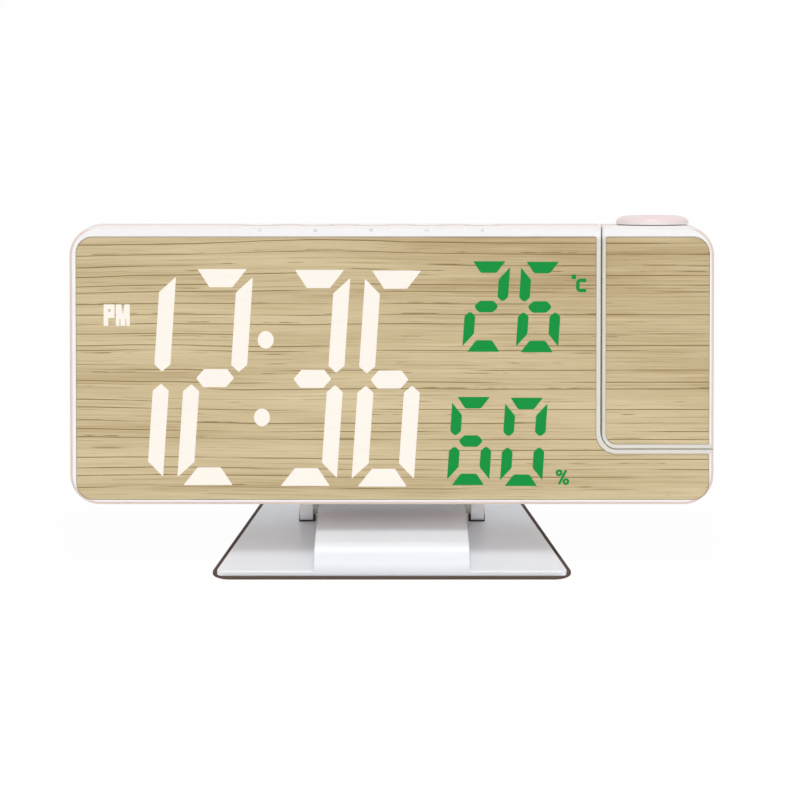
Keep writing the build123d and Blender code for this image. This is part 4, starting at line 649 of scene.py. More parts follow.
@dataclass(frozen=True)
class GrainLines:
    """One family of thin grain lines, level but for the print's slow waves.

    Attributes:
        pitch: Distance between the lines, in metres.
        width: Half width of a line, in metres.
        run: Length over which a line keeps its strength, in metres.
        threshold: Share of each line that is blank, 0 to 1.
        strength: How far a line darkens the wood.
        seed: Number that tells this family's lines from another's.
        stray: Reach of a line's random place within its pitch.
        edge: Where a line's darkness starts to fall off, and where it ends, in half widths.
        apart: Step in the fading noise from one line to the next.
        onset: Rise of that noise over which a line comes in.
    """

    pitch: float
    width: float
    run: float
    threshold: float
    strength: float
    seed: float
    stray: ClassVar[Pair] = (0.2, 0.8)
    edge: ClassVar[Pair] = (0.5, 1.15)
    apart: ClassVar[float] = 7.31
    onset: ClassVar[float] = 0.1

    def mask(self, along: Value, height: Value) -> Value:
        """Strength of the lines at a place.

        The height over the pitch counts the lines: its whole part numbers a line, and the rest is the
        place between two of them. Each line stands at its own random place there, its own noise along
        the grain fades it in and out, and its edge falls off over its half width.

        Args:
            along: Distance along the grain.
            height: Distance across the grain.

        Returns:
            The lines' strength, 0 to 1.
        """
        graph = along.graph
        phase = height * (1 / self.pitch) + self.seed
        number = graph.math("FLOOR", phase)
        chance = graph.node("TexWhiteNoise", {"W": number}, noise_dimensions="1D").outputs["Value"]
        own_place = Value(graph, chance).span(0.0, 1.0, *self.stray)
        away = abs(phase - number - own_place) * (self.pitch / self.width)
        row = graph.vector(along * (1 / self.run), number * self.apart)
        fade = graph.noise(row, detail=2.0, roughness=0.55).span(self.threshold, self.threshold + self.onset)
        return away.span(*self.edge, 1.0, 0.0, kind="SMOOTHSTEP") * fade * self.strength


@dataclass(frozen=True)
class WoodFilm(Recipe):
    """Printed film of pale bamboo: fine level fibre, thin dark lines that come and go, short pores.

    Attributes:
        pale: Linear colour of the palest fibre.
        mid: Linear colour of most of the wood.
        deep: Linear colour of its darker bands.
        dark: Linear colour of the grain lines.
        waviness: How far the lines wander up and down, in metres.
        families: The families of grain lines.
        calm: Where along the grain the wandering starts to die down, and where it has, in metres.
        stillness: Share of the wandering that is left there.
        fall: How much paler the print grows downwards, per metre.
        level: Height from which that is counted, in metres.
        slow_wave: Long waves of the grain, in cycles a metre along it and across it.
        quick_wave: Short waves of the grain, likewise.
        bands: Broad bands of tone, likewise.
        fibres: Fibres, likewise.
        hairs: Finest streaks, likewise.
        pores: Pores, likewise.
        shares: Shares of bands, fibres and streaks in the tone.
        tones: Where in the tone the deep, mid and pale colours stand.
        pitted: Noise over which a pore comes in.
        pore_share: How dark a pore is.
        gloss: Least and greatest roughness.
        relief: Height of the fibre, in metres.
    """

    pale: Colour = srgb(221, 203, 164)
    mid: Colour = srgb(205, 186, 146)
    deep: Colour = srgb(182, 159, 116)
    dark: Colour = srgb(112, 82, 8)
    waviness: float = 0.0013
    families: tuple[GrainLines, ...] = (
        GrainLines(pitch=0.0029, width=0.00014, run=0.06, threshold=0.4, strength=0.88, seed=0.0),
        GrainLines(pitch=0.0016, width=0.00011, run=0.024, threshold=0.48, strength=0.37, seed=17.0),
        GrainLines(pitch=0.0037, width=0.00013, run=0.013, threshold=0.54, strength=0.8, seed=41.0))
    calm: Pair = (-0.02, 0.035)
    stillness: float = 0.12
    fall: float = 0.5
    level: float = 0.05
    slow_wave: ClassVar[Pair] = (9.0, 16.0)
    quick_wave: ClassVar[Pair] = (42.0, 110.0)
    bands: ClassVar[Pair] = (6.0, 85.0)
    fibres: ClassVar[Pair] = (20.0, 1500.0)
    hairs: ClassVar[Pair] = (70.0, 3600.0)
    pores: ClassVar[Pair] = (300.0, 3600.0)
    shares: ClassVar[Triple] = (0.5, 0.34, 0.16)
    tones: ClassVar[Triple] = (0.36, 0.49, 0.63)
    pitted: ClassVar[Pair] = (0.70, 0.78)
    pore_share: ClassVar[float] = 0.3
    gloss: ClassVar[Pair] = (0.52, 0.64)
    relief: ClassVar[float] = 0.000012

    def inputs(self, graph: Graph) -> dict[str, Any]:
        """Bands and fibre in three tones under the dark lines and pores, and a faint relief of fibre."""
        along, _, up = graph.upright_place()

        # the grain's height: z plus slow waves, so that neighbouring lines wander alike
        slow = self._streaks(along, up, self.slow_wave) - 0.5
        quick = self._streaks(along, up, self.quick_wave) - 0.5
        wave = slow * (4 * self.waviness) + quick * (0.5 * self.waviness)
        height = up + wave * along.span(*self.calm, 1.0, self.stillness)

        fibre = self._streaks(along, height, self.fibres, 3.0, 0.65)
        layers = (self._streaks(along, height, self.bands, 2.0), fibre,
                  self._streaks(along, height, self.hairs))
        broad, middling, fine = (layer * share for layer, share in zip(layers, self.shares))
        tone = broad + (middling + fine) + (self.level - up) * self.fall
        colour = graph.ramp(tone, list(zip(self.tones, (self.deep, self.mid, self.pale))))
        for family in self.families:
            colour = graph.mix(family.mask(along, height), colour, self.dark)

        pore = self._streaks(along, height, self.pores).span(*self.pitted, 0.0, self.pore_share)
        return {"Base Color": graph.mix(pore, colour, self.dark), "Roughness": fibre.between(*self.gloss),
                "Specular IOR Level": 0.3, "Normal": graph.bump(fibre, self.relief, 0.5)}

    @staticmethod
    def _streaks(along: Value, up: Value, rates: Pair, detail: float = 1.0, roughness: float = 0.5) -> Value:
        """Noise of the vector (along times its rate, 0, up times its rate)."""
        graph = along.graph
        return graph.noise(graph.vector(along * rates[0], z=up * rates[1]), detail, roughness)


@dataclass(frozen=True)
class Light(Recipe):
    """Lit diffuser seen through the face: an even glow with a trace of the film's fibre.

    Attributes:
        glow: Linear colour of the light.
        fibre: Stretch of the film's fibre along x, y and z, in cycles a metre.
        shade: Light that a fibre lets through.
    """

    glow: Colour
    fibre: ClassVar[Triple] = (60.0, 60.0, 900.0)
    shade: ClassVar[float] = 0.985

    def inputs(self, graph: Graph) -> dict[str, Any]:
        """Black surface with an even emission."""
        fibre = graph.noise(graph.place(self.fibre, upright=True), detail=2.0)
        dimmer = tuple(channel * self.shade for channel in self.glow)
        glow = graph.ramp(fibre, [(0.35, dimmer), (0.6, self.glow)])
        return {"Base Color": BLACK, "Roughness": 0.6, "Specular IOR Level": 0.0, "Emission Color": glow,
                "Emission Strength": 1.0}


@dataclass(frozen=True)
class Metal(Recipe):
    """Plated or drawn metal with fine marks along one direction.

    Attributes:
        colour: Its linear colour.
        roughness: Mean roughness.
        marks: Stretch of the marks along x, y and z, in cycles a metre.
        clouds: Stretch of the clouds of tone, in cycles a metre.
        shade: Brightness of the darkest cloud.
        swing: How far the roughness falls below its mean and rises above it.
        relief: Depth of the marks, in metres.
    """

    colour: Colour
    roughness: float = 0.28
    marks: Triple = (900.0, 900.0, 5000.0)
    clouds: ClassVar[float] = 160.0
    shade: ClassVar[float] = 0.86
    swing: ClassVar[Pair] = (0.08, 0.1)
    relief: ClassVar[float] = 0.000004

    def inputs(self, graph: Graph) -> dict[str, Any]:
        """Clouded colour and drawn marks."""
        drawn = graph.noise(graph.place(self.marks, upright=True), detail=3.0)
        cloud = graph.noise(graph.place(self.clouds), detail=2.0)
        darker = tuple(channel * self.shade for channel in self.colour)
        return {"Base Color": graph.ramp(cloud, [(0.3, darker), (0.7, self.colour)]), "Metallic": 1.0,
                "Roughness": drawn.between(self.roughness - self.swing[0], self.roughness + self.swing[1]),
                "Normal": graph.bump(drawn, self.relief, 0.5)}


@dataclass(frozen=True)
class Rubber(Recipe):
    """Soft pad under the stand: matte, dark as painted contact shadow, with a fine leathery grain and a
    little dust.

    Attributes:
        colour: Its linear colour, dark for the painted contact shadow round the stand.
        dust: Linear colour of the dust on it.
        cells: Rate of the leathery cells, in cycles a metre.
        clouds: Rate of the dust's clouds, in cycles a metre.
        dusty: Noise over which the dust comes in.
        dust_share: How dense it gets.
        gloss: Least and greatest roughness.
        relief: Depth of the cells, in metres.
    """

    colour: Colour
    dust: Colour = srgb(96, 84, 74)
    cells: ClassVar[float] = 1400.0
    clouds: ClassVar[float] = 60.0
    dusty: ClassVar[Pair] = (0.55, 0.8)
    dust_share: ClassVar[float] = 0.25
    gloss: ClassVar[Pair] = (0.7, 0.85)
    relief: ClassVar[float] = 0.00003

    def inputs(self, graph: Graph) -> dict[str, Any]:
        """Dusty colour over leathery cells."""
        cells = graph.node("TexVoronoi", {"Vector": graph.place(self.cells)}, feature="DISTANCE_TO_EDGE")
        cloud = graph.noise(graph.place(self.clouds), detail=4.0)
        dusty = cloud.span(*self.dusty, 0.0, self.dust_share)
        return {"Base Color": graph.mix(dusty, self.colour, self.dust),
                "Roughness": cloud.between(*self.gloss), "Specular IOR Level": 0.3,
                "Normal": graph.bump(cells.outputs["Distance"], self.relief, 0.6)}


@dataclass(frozen=True)
class CircuitBoard(Recipe):
    """Solder mask over copper tracks: level and upright tracks show as paler, raised lines.

    Attributes:
        mask: Linear colour of the mask.
        track: Linear colour of the mask over copper.
        grid: Rate of the grid of tracks, in cycles a metre.
        pads: Rate of the round pads, in cycles a metre.
        pad_edge: Outer and inner end of a pad's edge, as a share of the pads' spacing.
        gloss: Roughness of the bare mask and over copper.
        relief: Height of the copper, in metres.
    """

    mask: Colour = srgb(22, 92, 58)
    track: Colour = srgb(48, 132, 84)
    grid: ClassVar[float] = 260.0
    pads: ClassVar[float] = 420.0
    pad_edge: ClassVar[Pair] = (0.18, 0.12)
    gloss: ClassVar[Pair] = (0.42, 0.3)
    relief: ClassVar[float] = 0.00003

    def inputs(self, graph: Graph) -> dict[str, Any]:
        """Mask, and copper where a grid of tracks or a round pad lies under it."""
        tracks = graph.node("TexBrick", {"Vector": graph.place(self.grid, upright=True), "Mortar Size": 0.06,
                                         "Scale": 1.0, "Color1": BLACK, "Color2": BLACK, "Mortar": WHITE},
                            offset=0.37, squash=1.6).outputs["Color"]
        pads = graph.node("TexVoronoi", {"Vector": graph.place(self.pads, upright=True), "Randomness": 0.7},
                          feature="F1").outputs["Distance"]
        copper = Value(graph, pads).span(*self.pad_edge).at_least(tracks)
        return {"Base Color": graph.mix(copper, self.mask, self.track),
                "Roughness": copper.span(0.0, 1.0, *self.gloss),
                "Normal": graph.bump(copper, self.relief, 0.7)}


@dataclass(frozen=True)
class Glass(Recipe):
    """Coated optical glass: clear, with a faint tint and a film of uneven gloss.

    Attributes:
        tint: Linear colour of the glass.
        coating: Linear colour of the coating, which shows at a slant.
        roughness: Least roughness.
        alpha: Opacity.
        film: Rate of the uneven film, in cycles a metre.
        swing: How far the film raises the roughness.
        slant: How early the coating's colour comes in.
    """

    tint: Colour
    coating: Colour = srgb(150, 120, 190)
    roughness: float = 0.03
    alpha: float = 0.35
    film: ClassVar[float] = 120.0
    swing: ClassVar[float] = 0.04
    slant: ClassVar[float] = 0.35

    def inputs(self, graph: Graph) -> dict[str, Any]:
        """Tint, with the coating's colour at a slant, and a film of uneven gloss."""
        film = graph.noise(graph.place(self.film), detail=2.0)
        edge = graph.node("LayerWeight", {"Blend": self.slant}).outputs["Fresnel"]
        return {"Base Color": graph.mix(edge, self.tint, self.coating), "Alpha": self.alpha, "IOR": 1.5,
                "Roughness": film.between(self.roughness, self.roughness + self.swing)}


class Finish(Enum):
    """Every finish on the clock, each with the names of the CAD nodes that have it."""

    CASE = (ShadeRimmedPlastic("case_white", srgb(246, 245, 245), roughness=0.38, tint=0.02),
            "front_housing rear_cover projector_front projector_rear")
    COVER = Plastic("cover_white", srgb(246, 245, 245), roughness=0.42, tint=0.02), "battery_door"
    KEY = (Plastic("key_white", srgb(244, 240, 238), roughness=0.3, grain=0.000004, tint=0.02),
           "key_1 key_2 key_3 key_4 key_5")
    DIAL = (ReflectionCrownedPlastic("dial_white", srgb(243, 241, 240), roughness=0.3, grain=0.000004, tint=0.02),
            "focus_ring")
    STAND = (Plastic("stand_white", srgb(240, 244, 249), roughness=0.34, grain=0.000006, tint=0.02),
             "stand_bracket")
    # painted shadow: the pad's dark colour stands for the contact shadow round the stand
    PAD = Rubber("pad_dark", srgb(92, 76, 68)), "stand_pad"
    WOOD = WoodFilm("wood_film"), "face_panel"
    MODULE_WOOD = WoodFilm("wood_film_module"), "projector_panel"
    PRINT = Plastic("legend_grey", srgb(222, 223, 226), roughness=0.6, grain=0.000002)
    CREAM = Light("cream_light", srgb(255, 248, 238)), "time_segments mark_windows"
    GREEN = Light("green_light", srgb(31, 150, 70)), "climate_segments"
    REFLECTOR = (Plastic("reflector_white", srgb(232, 232, 226), roughness=0.6),
                 "display_reflector lead_socket")
    ACETAL = (Plastic("acetal", srgb(226, 222, 212), roughness=0.35),
              "friction_washers pivot_shaft pivot_bush")
    BLACK = (Plastic("black_plastic", srgb(26, 26, 27), roughness=0.45, tint=0.2),
             "board_parts key_switches usb_core inlet_core lens_cell lens_retainer optics_barrel "
             "lamp_housing")
    SENSOR = Plastic("sensor_blue", srgb(72, 128, 176), roughness=0.5), "room_sensor"
    CONE = (Plastic("cone_paper", srgb(44, 43, 42), roughness=0.85, grain=0.00003, pitch=0.0006, tint=0.3),
            "speaker_cone")
    PHOSPHOR = Plastic("led_yellow", srgb(240, 222, 120), roughness=0.35, tint=0.1), "segment_leds lamp_led"
    LEAD = Plastic("lead_grey", srgb(98, 98, 100), roughness=0.5, tint=0.12), "lamp_lead board_lead"
    STEEL = (Metal("steel", srgb(186, 186, 184), roughness=0.32),
             "hinge_pin case_screws projector_screws board_screws key_board_screws door_screw speaker "
             "coin_cell pivot_washer pivot_ring")
    NICKEL = (Metal("nickel", srgb(206, 205, 200), roughness=0.2),
              "usb_shell inlet_shell cell_spring cell_clip")
    ALUMINIUM = Metal("aluminium", srgb(200, 201, 203), roughness=0.35), "lamp_board"
    BOARD = CircuitBoard("circuit_green"), "main_board key_board"
    LENS = Glass("lens_glass", srgb(214, 232, 240)), "projection_lens condenser_lens"
    LCD = Glass("lcd_glass", srgb(96, 104, 112), alpha=0.6), "image_lcd"

    def __init__(self, recipe: Recipe, nodes: str = "") -> None:
        """Keep the recipe of the material and the names of the nodes."""
        self.recipe, self.nodes = recipe, nodes.split()

    def material(self) -> Material:
        """Make this finish's material on its first use.

        Returns:
            The material, the same one each time.
        """
        name = "finish_" + self.recipe.name
        made = bpy.data.materials.get(name)
        if made is None:
            made = self.recipe.build()
            made.name = name
        return made


def dress_nodes() -> None:
    """Give every CAD node its finish through its object's material slots."""
    bare = set(frame["nodes"])
    for finish in Finish:
        for name in finish.nodes:
            node = frame["nodes"][name]
            if not node.material_slots:
                node.data.materials.append(None)
            for material_slot in node.material_slots:
                material_slot.material = finish.material()
        bare -= set(finish.nodes)
        LOG.info("%s: %s", finish.name.lower(), ", ".join(finish.nodes) or "print only")
    if bare:
        LOG.warning("no finish on %s", sorted(bare))


# ---------------------------------------------------------------- the lit display
class Bar(Enum):
    """The bars of a seven-segment digit."""

    TOP = 0
    UPPER_RIGHT = 1
    LOWER_RIGHT = 2
    BOTTOM = 3
    LOWER_LEFT = 4
    UPPER_LEFT = 5
    MIDDLE = 6


SHOWN: dict[str, tuple[Bar, ...]] = {
    "0": (Bar.TOP, Bar.UPPER_RIGHT, Bar.LOWER_RIGHT, Bar.BOTTOM, Bar.LOWER_LEFT, Bar.UPPER_LEFT),
    "1": (Bar.UPPER_RIGHT, Bar.LOWER_RIGHT),
    "2": (Bar.TOP, Bar.UPPER_RIGHT, Bar.MIDDLE, Bar.LOWER_LEFT, Bar.BOTTOM),
    "3": (Bar.TOP, Bar.UPPER_RIGHT, Bar.MIDDLE, Bar.LOWER_RIGHT, Bar.BOTTOM),
    "6": (Bar.TOP, Bar.UPPER_LEFT, Bar.MIDDLE, Bar.LOWER_LEFT, Bar.LOWER_RIGHT, Bar.BOTTOM),
}


@dataclass(frozen=True)
class DigitStyle:
    """Proportions of a seven-segment digit, in millimetres from the middle of its middle bar.

    Attributes:
        half_height: Middle to the top edge.
        outer: Middle to the outer edge of an upright.
        stroke: Width of an upright.
        bar: Height of a level bar.
        top_cut: End of the top bar short of the outer edge.
        top_cut_in: End of its lower edge short of the upright's inner edge.
        side_cut: Upright's outer end below the top edge.
        side_cut_in: Upright's inner end below the top bar.
        tip: Upright's point above the middle.
        tip_slope: Height of that point's slopes.
        middle: Half length of the middle bar.
        middle_flat: Half length of its level edges.
        sharp: Radius of the outer corners.
        soft: Radius of the corners towards the digit's inside.
        foot: Height of the digit's lower half over that of its upper half.
        slant: Lean of the digit, in degrees.
    """

    half_height: float
    outer: float
    stroke: float
    bar: float
    top_cut: float
    top_cut_in: float
    side_cut: float
    side_cut_in: float
    tip: float
    tip_slope: float
    middle: float
    middle_flat: float
    sharp: float
    soft: float
    foot: float = 1.0
    slant: float = 3.8

    def outlines(self) -> dict[Bar, Array]:
        """Outline of each bar about the digit's middle, slanted: x grows by z times tan(slant).

        Below the middle every height is then multiplied by the foot's share.

        Returns:
            The outlines by bar, in millimetres.
        """
        high, inner = self.half_height, self.outer - self.stroke
        column, shoulder, half_bar = self.outer - self.stroke / 2, self.tip + self.tip_slope, self.bar / 2
        top = np.array([(self.top_cut - self.outer, high), (self.top_cut_in - inner, high - self.bar),
                        (inner - self.top_cut_in, high - self.bar), (self.outer - self.top_cut, high)])
        right = np.array([(inner, high - self.bar - self.side_cut_in), (inner, shoulder),
                          (column, self.tip), (self.outer, shoulder), (self.outer, high - self.side_cut)])
        middle = np.array([(-self.middle, 0), (-self.middle_flat, -half_bar), (self.middle_flat, -half_bar),
                           (self.middle, 0), (self.middle_flat, half_bar), (-self.middle_flat, half_bar)])
        top_radii = [self.sharp, self.soft, self.soft, self.sharp]
        side_radii = [self.soft, self.soft, self.soft, self.soft, self.sharp]
        drawn = {Bar.TOP: (top, top_radii), Bar.UPPER_RIGHT: (right, side_radii),
                 Bar.LOWER_RIGHT: (right[::-1] * (1, -1), side_radii[::-1]),
                 Bar.BOTTOM: (top[::-1] * (1, -1), top_radii[::-1]),
                 Bar.LOWER_LEFT: (right * (-1, -1), side_radii),
                 Bar.UPPER_LEFT: (right[::-1] * (-1, 1), side_radii[::-1]),
                 Bar.MIDDLE: (middle, [self.soft] * 6)}
        lean = np.array([[1.0, 0.0], [math.tan(math.radians(self.slant)), 1.0]])
        outlines = {bar: rounded(corners @ lean, np.array(radii)) for bar, (corners, radii) in drawn.items()}
        return {bar: outline * np.where(outline[:, 1:] < 0, (1.0, self.foot), 1.0)
                for bar, outline in outlines.items()}


TIME_STYLE = DigitStyle(half_height=32.2, outer=9.2, stroke=4.7, bar=5.35, top_cut=1.95, top_cut_in=1.1,
                        side_cut=2.4, side_cut_in=1.6, tip=1.8, tip_slope=2.1, middle=5.6, middle_flat=3.4,
                        sharp=0.2, soft=0.5, foot=0.982)
TEMPERATURE_STYLE = DigitStyle(half_height=13.35, outer=6.25, stroke=3.15, bar=3.4, top_cut=1.5,
                               top_cut_in=0.75, side_cut=1.7, side_cut_in=1.95, tip=1.3, tip_slope=1.5,
                               middle=3.75, middle_flat=2.0, sharp=0.12, soft=1.1)
HUMIDITY_STYLE = replace(TEMPERATURE_STYLE, half_height=13.05, tip=1.4)


@dataclass(frozen=True)
class Reading:
    """A row of lit digits.

    Attributes:
        digits: What it shows.
        style: Proportions of its digits.
        middles: Middle of each digit in x and z, in millimetres.
    """

    digits: str
    style: DigitStyle
    middles: tuple[Pair, ...]

    def outlines(self) -> list[Array]:
        """Put each digit's lit bars about its middle.

        Returns:
            Their outlines, in millimetres.
        """
        bars = self.style.outlines()
        placed = zip(self.digits, self.middles)
        return [bars[bar] + middle for digit, middle in placed for bar in SHOWN[digit]]


@dataclass
class Display:
    """The lit time, temperature, humidity and marks, as they shine through the wood-grain face.

    Attributes:
        time: Hours and minutes.
        temperature: Temperature.
        humidity: Humidity.
        colon: Middle of each colon dot, in millimetres like all places here.
        colon_radius: Half width and half height of a dot.
        afternoon_mark: Lower left corner of the letters PM.
        degree_mark: Middle of the degree sign.
        celsius_mark: Lower left corner of the letter C.
        percent_mark: Middle of the percent sign.
        glow: How far the light's edge stands in front of the film, in millimetres.
        panel_y: Depth of the film's front, in metres.
    """

    time: Reading = Reading("1236", TIME_STYLE,
                            ((-74.8, 38.45), (-52.15, 38.3), (-23.45, 38.05), (-0.7, 37.85)))
    temperature: Reading = Reading("26", TEMPERATURE_STYLE, ((27.85, 59.45), (43.6, 59.3)))
    humidity: Reading = Reading("60", HUMIDITY_STYLE, ((23.3, 19.7), (38.95, 19.45)))
    colon: tuple[Pair, ...] = ((-37.2, 49.6), (-38.35, 26.7))
    colon_radius: Pair = (2.35, 2.6)
    afternoon_mark: Pair = (-84.98, 53.75)
    degree_mark: Pair = (53.65, 68.2)
    celsius_mark: Pair = (54.3, 63.65)
    percent_mark: Pair = (50.4, 9.0)
    glow: float = 0.03
    panel_y: float = field(init=False)

    def __post_init__(self) -> None:
        """Take the depth of the face from the CAD panel."""
        self.panel_y = SPACE.box("face_panel")[0][1]

    def build(self) -> None:
        """Make the lit pieces."""
        dots = [disc(*self.colon_radius) + middle for middle in self.colon]
        self._light("lit_time", self.time.outlines() + dots, Finish.CREAM)
        climate = self.temperature.outlines() + self.humidity.outlines()
        self._light("lit_climate", climate, Finish.GREEN)
        self._light("lit_afternoon_mark", self._afternoon(), Finish.CREAM)
        self._light("lit_unit_marks", self._units(), Finish.GREEN)

    def _light(self, name: str, outlines: list[Array], finish: Finish) -> None:
        """Make one piece of flat lit shapes.

        Args:
            name: Name of the piece.
            outlines: Closed outlines in millimetres.
            finish: Its finish.
        """
        parts = [plate(outline * MM, self.panel_y, self.glow * MM) for outline in outlines]
        make_piece(name, Surface.joined(parts).placed(), "clock", finish.material())

    def _afternoon(self) -> list[Array]:
        """The letters PM, cut as solid blocks: P with an eye, M with a notch and two slots.

        Returns:
            Their outlines, in millimetres.
        """
        high, stem, p_wide, m_left, m_wide = 6.35, 1.35, 3.2, 3.6, 4.1
        bowl_low, eye_low, eye_high, eye_right = 2.35, 4.1, 4.95, 2.05
        letter_p = [box(0, stem, 0, high), box(stem, p_wide, eye_high, high),
                    box(stem, p_wide, bowl_low, eye_low), box(eye_right, p_wide, eye_low, eye_high)]

        slot_wide, slot_high, slot_lefts = 0.3, 2.0, (1.05, 2.8)
        middle, notch_low, notch_left, notch_right = m_wide / 2, 3.4, 0.45, 0.55
        slots = [(x, z) for left in slot_lefts for x, z in
                 ((left, 0), (left, slot_high), (left + slot_wide, slot_high), (left + slot_wide, 0))]
        notch = [(middle + notch_right, high), (middle, notch_low), (middle - notch_left, high)]
        letter_m = np.array([(0, 0), *slots, (m_wide, 0), (m_wide, high), *notch, (0, high)])
        return [outline + self.afternoon_mark for outline in (*letter_p, letter_m + (m_left, 0))]

    def _units(self) -> list[Array]:
        """The degree square, the letter C and the percent sign.

        Returns:
            Their outlines, in millimetres.
        """
        dot, dot_corner = 0.68, 0.2
        degree = rounded(box(-dot, dot, -dot, dot), dot_corner)

        wide, high, weight, corner = 3.0, 4.05, 1.05, 0.8
        inset = weight / 2
        near, far, steps = inset + corner, high - inset - corner, 8
        path = np.vstack([[(wide, high - inset)], arc((near, far), corner, 90, 180, steps),
                          arc((near, near), corner, 180, 270, steps), [(wide, inset)]])
        letter = stroke(path, weight)

        slash, slash_weight = np.array([(-1.05, -2.05), (0.0, 0.0), (1.05, 2.05)]), 0.75
        ring, ring_weight, ring_steps = 0.66, 0.72, 25
        # middle of each ring, and the angle at which its ends meet
        ring_places = ((-1.0, 1.3, 0), (1.0, -1.3, 180))
        rings = [stroke(arc((x, z), ring, start, start + 360, ring_steps), ring_weight)
                 for x, z, start in ring_places]
        percent = [outline + self.percent_mark for outline in (stroke(slash, slash_weight), *rings)]
        return [degree + self.degree_mark, letter + self.celsius_mark, *percent]


@dataclass
class KeyLegends:
    """Small pale prints on the front frame's upper rim, one before each key.

    Attributes:
        keys: CAD nodes of the keys, whose middles the prints take.
        height: Height of the prints' middle under the frame's top, in metres.
        relief: Thickness of the ink, in metres.
        ring: Radius and weight of the ring, in millimetres like the sizes below.
        dot: Radius of the dot.
        bar: Half width and half height of the bar.
        wedge: Half widths of a wedge's wide and narrow ends, and heights of its foot and head.
        round_steps: Points round the ring and the dot.
    """

    keys: tuple[str, ...] = ("key_1", "key_2", "key_3", "key_4", "key_5")
    height: float = 0.0013
    relief: float = 0.00002
    ring: Pair = (0.36, 0.2)
    dot: float = 0.45
    bar: Pair = (0.7, 0.25)
    wedge: tuple[float, ...] = (0.75, 0.3, -0.4, 0.45)
    round_steps: ClassVar[int] = 24

    def build(self) -> None:
        """Make the prints: a ring, a rising wedge, a falling wedge, a bar and a dot."""
        (_, face, _), (_, _, top) = SPACE.box("front_housing")
        radius, weight = self.ring
        ring = stroke(arc((0.0, 0.0), radius, 0, 360, self.round_steps), weight)
        bar = box(-self.bar[0], self.bar[0], -self.bar[1], self.bar[1])
        dot = disc(self.dot, self.dot, self.round_steps)
        shapes = (ring, self._wedge(1), self._wedge(-1), bar, dot)
        parts = []
        for key, shape in zip(self.keys, shapes):
            low, high = SPACE.box(key)
            middle = np.array([(low[0] + high[0]) / 2, top - self.height])
            parts.append(plate(shape * MM + middle, face, self.relief))
        make_piece("key_legends", Surface.joined(parts).placed(), "clock",
                   Finish.PRINT.material())

    def _wedge(self, rise: int) -> Array:
        """Outline of a wedge.

        Args:
            rise: 1 for a wide end below, -1 for one above.

        Returns:
            The outline about its middle, in millimetres.
        """
        wide, narrow, foot, head = self.wedge
        below, above = (wide, narrow)[::rise]
        return np.array([(-below, foot), (below, foot), (above, head), (-above, head)])


# ---------------------------------------------------------------- studio
@dataclass(frozen=True)
class Lamp:
    """Square lamp of the studio.

    Attributes:
        name: Its name.
        place: Where it stands, in metres.
        size: Length of its sides, in metres.
        power: Its power, in watts.
    """

    name: str
    place: Triple
    size: float
    power: float


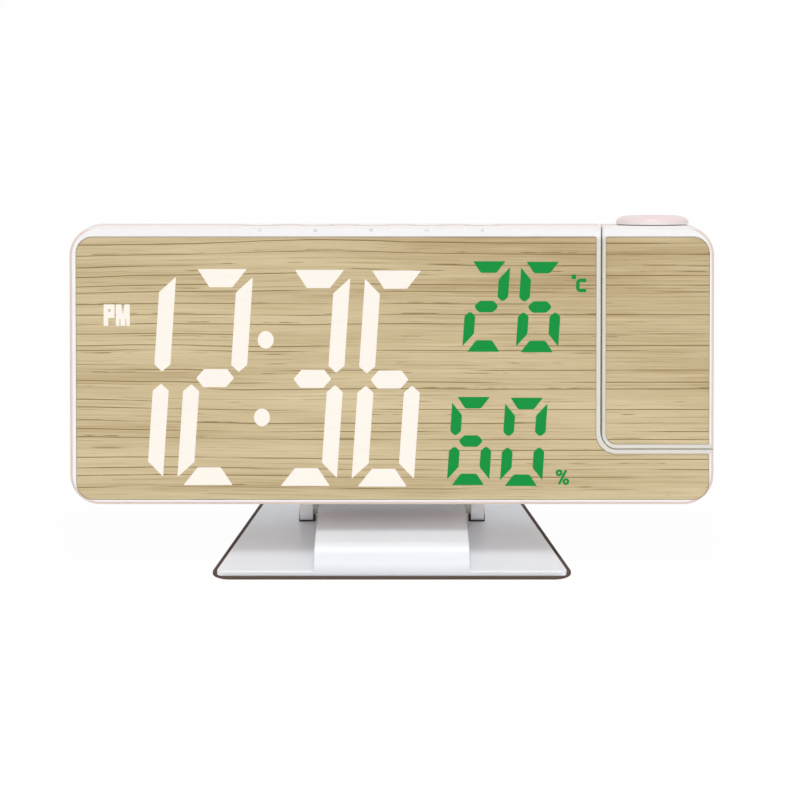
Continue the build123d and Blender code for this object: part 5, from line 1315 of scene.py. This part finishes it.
@dataclass
class Studio:
    """Pale floor and backdrop, soft lights, and the camera in front of the clock.

    Attributes:
        elevation: Camera's height over the horizon, in degrees.
        distance: Camera to the point it looks at, in metres.
        target: Point in the middle of the view, in metres.
        view_width: Width of the view at that point, in metres.
        floor_reach: Half size of the floor, in metres.
        floor_bend: Where the floor starts to curve up, and the curve's radius, in metres.
        floor_drop: Distance of the floor below the pad, so that their faces don't coincide.
        paper_glow: Share of plain white in the paper as the camera and mirrors see it.
        sky: Strength of the white world.
        lit_point: Point that the lamps face, in metres.
        lamps: The lamps: a soft one in front, a lower fill, a weak one at the side and one above.
        sensor: Width of the camera's sensor, in millimetres.
        clip: Nearest and farthest reach of the camera, in metres.
    """

    elevation: float = 20.0
    distance: float = 1.7
    target: Triple = (0.0024, -0.007, 0.0462)
    view_width: float = 0.2365
    floor_reach: float = 4.0
    floor_bend: float = 1.2
    floor_drop: float = 0.0001
    paper_glow: float = 0.96
    sky: float = 0.64
    lit_point: Triple = (0.0, 0.0, 0.04)
    lamps: tuple[Lamp, ...] = (Lamp("front_light", (-0.1, -1.35, 0.9), 0.8, 1.0),
                               Lamp("low_fill", (0.1, -1.5, 0.22), 0.5, 2.6),
                               Lamp("side_light", (1.4, -0.5, 0.9), 1.0, 1.0),
                               Lamp("top_light", (0.0, -0.1, 1.6), 0.6, 7.8))
    sensor: ClassVar[float] = 36.0
    clip: ClassVar[Pair] = (0.05, 20.0)

    def build(self) -> None:
        """Make the floor, the lights and the camera."""
        self._floor()
        self._lights()
        self._camera()

    def _floor(self) -> None:
        """Floor that runs up into a backdrop: height 0 to y = bend, then a quarter circle, then a wall."""
        bend = radius = self.floor_bend
        turn = np.linspace(0, math.pi / 2, 24)
        y = np.concatenate([[-self.floor_reach], bend + radius * np.sin(turn), [bend + radius]])
        z = np.concatenate([[0.0], radius * (1 - np.cos(turn)), [self.floor_reach]]) - self.floor_drop
        left = np.column_stack([np.full(len(y), -self.floor_reach), y, z])
        right = left * (-1, 1, 1)
        near = np.arange(len(y) - 1)
        faces = np.column_stack([near, near + len(y), near + len(y) + 1, near + 1])
        mesh = bpy.data.meshes.new("studio_floor")
        mesh.from_pydata(np.vstack([left, right]).tolist(), [], faces.tolist())
        mesh.polygons.foreach_set("use_smooth", np.ones(len(mesh.polygons), bool))
        mesh.materials.append(self._paper())
        self._linked("studio_floor", mesh)

    def _paper(self) -> Material:
        """White paper that the camera and mirrors see nearly white, and that still takes a shadow.

        Returns:
            The material.
        """
        graph = Graph("studio_paper")
        tooth = graph.noise(graph.place(900.0), detail=2.0)
        shades = [(0.3, srgb(248, 248, 248)), (0.7, srgb(251, 251, 251))]
        paper = graph.node("BsdfDiffuse", {"Color": graph.ramp(tooth, shades)})
        seen = graph.node("Emission", {"Color": WHITE, "Strength": 1.0})
        rays = graph.node("LightPath").outputs
        mirrored = graph.math("MAXIMUM", rays["Is Glossy Ray"], rays["Is Transmission Ray"])
        share = mirrored.at_least(rays["Is Camera Ray"]) * self.paper_glow
        mixed = graph.node("MixShader", {0: share, 1: paper.outputs["BSDF"], 2: seen.outputs["Emission"]})
        return graph.close(mixed.outputs["Shader"])

    def _lights(self) -> None:
        """Even white world and the lamps."""
        world = bpy.data.worlds.new("studio_world")
        world.use_nodes = True
        sky = world.node_tree.nodes["Background"]
        sky.inputs["Color"].default_value = (*WHITE, 1.0)
        sky.inputs["Strength"].default_value = self.sky
        bpy.context.scene.world = world
        for lamp in self.lamps:
            data = bpy.data.lights.new(lamp.name, "AREA")
            data.size, data.energy = lamp.size, lamp.power
            self._aim(self._linked(lamp.name, data), lamp.place, self.lit_point)

    def _camera(self) -> None:
        """Camera on the line from the target at the given elevation, with the lens that fills the view."""
        rise = math.radians(self.elevation)
        back = np.array([0.0, -math.cos(rise), math.sin(rise)]) * self.distance
        data = bpy.data.cameras.new("camera")
        data.sensor_width = self.sensor
        data.lens = self.sensor * self.distance / self.view_width
        data.clip_start, data.clip_end = self.clip
        camera = self._linked("camera", data)
        self._aim(camera, back + self.target, self.target)
        bpy.context.scene.camera = camera

    @staticmethod
    def _linked(name: str, data: bpy.types.ID) -> bpy.types.Object:
        """Put a mesh, light or camera into the scene.

        Args:
            name: Name of its object.
            data: The mesh, light or camera.

        Returns:
            The object.
        """
        thing = bpy.data.objects.new(name, data)
        bpy.context.scene.collection.objects.link(thing)
        return thing

    @staticmethod
    def _aim(thing: bpy.types.Object, place: Iterable[float], target: Iterable[float]) -> None:
        """Put a light or camera at a place and turn its -Z axis to a target."""
        thing.location = Vector(place)
        thing.rotation_euler = (Vector(target) - Vector(place)).to_track_quat("-Z", "Y").to_euler()


def main() -> None:
    """Dress the clock and set up the studio."""
    logging.basicConfig(level=logging.INFO, format="%(name)s: %(message)s")
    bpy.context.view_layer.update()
    bpy.context.scene.view_settings.view_transform = "Standard"
    dress_nodes()
    Display().build()
    KeyLegends().build()
    Studio().build()


if __name__ == "__main__":
    main()
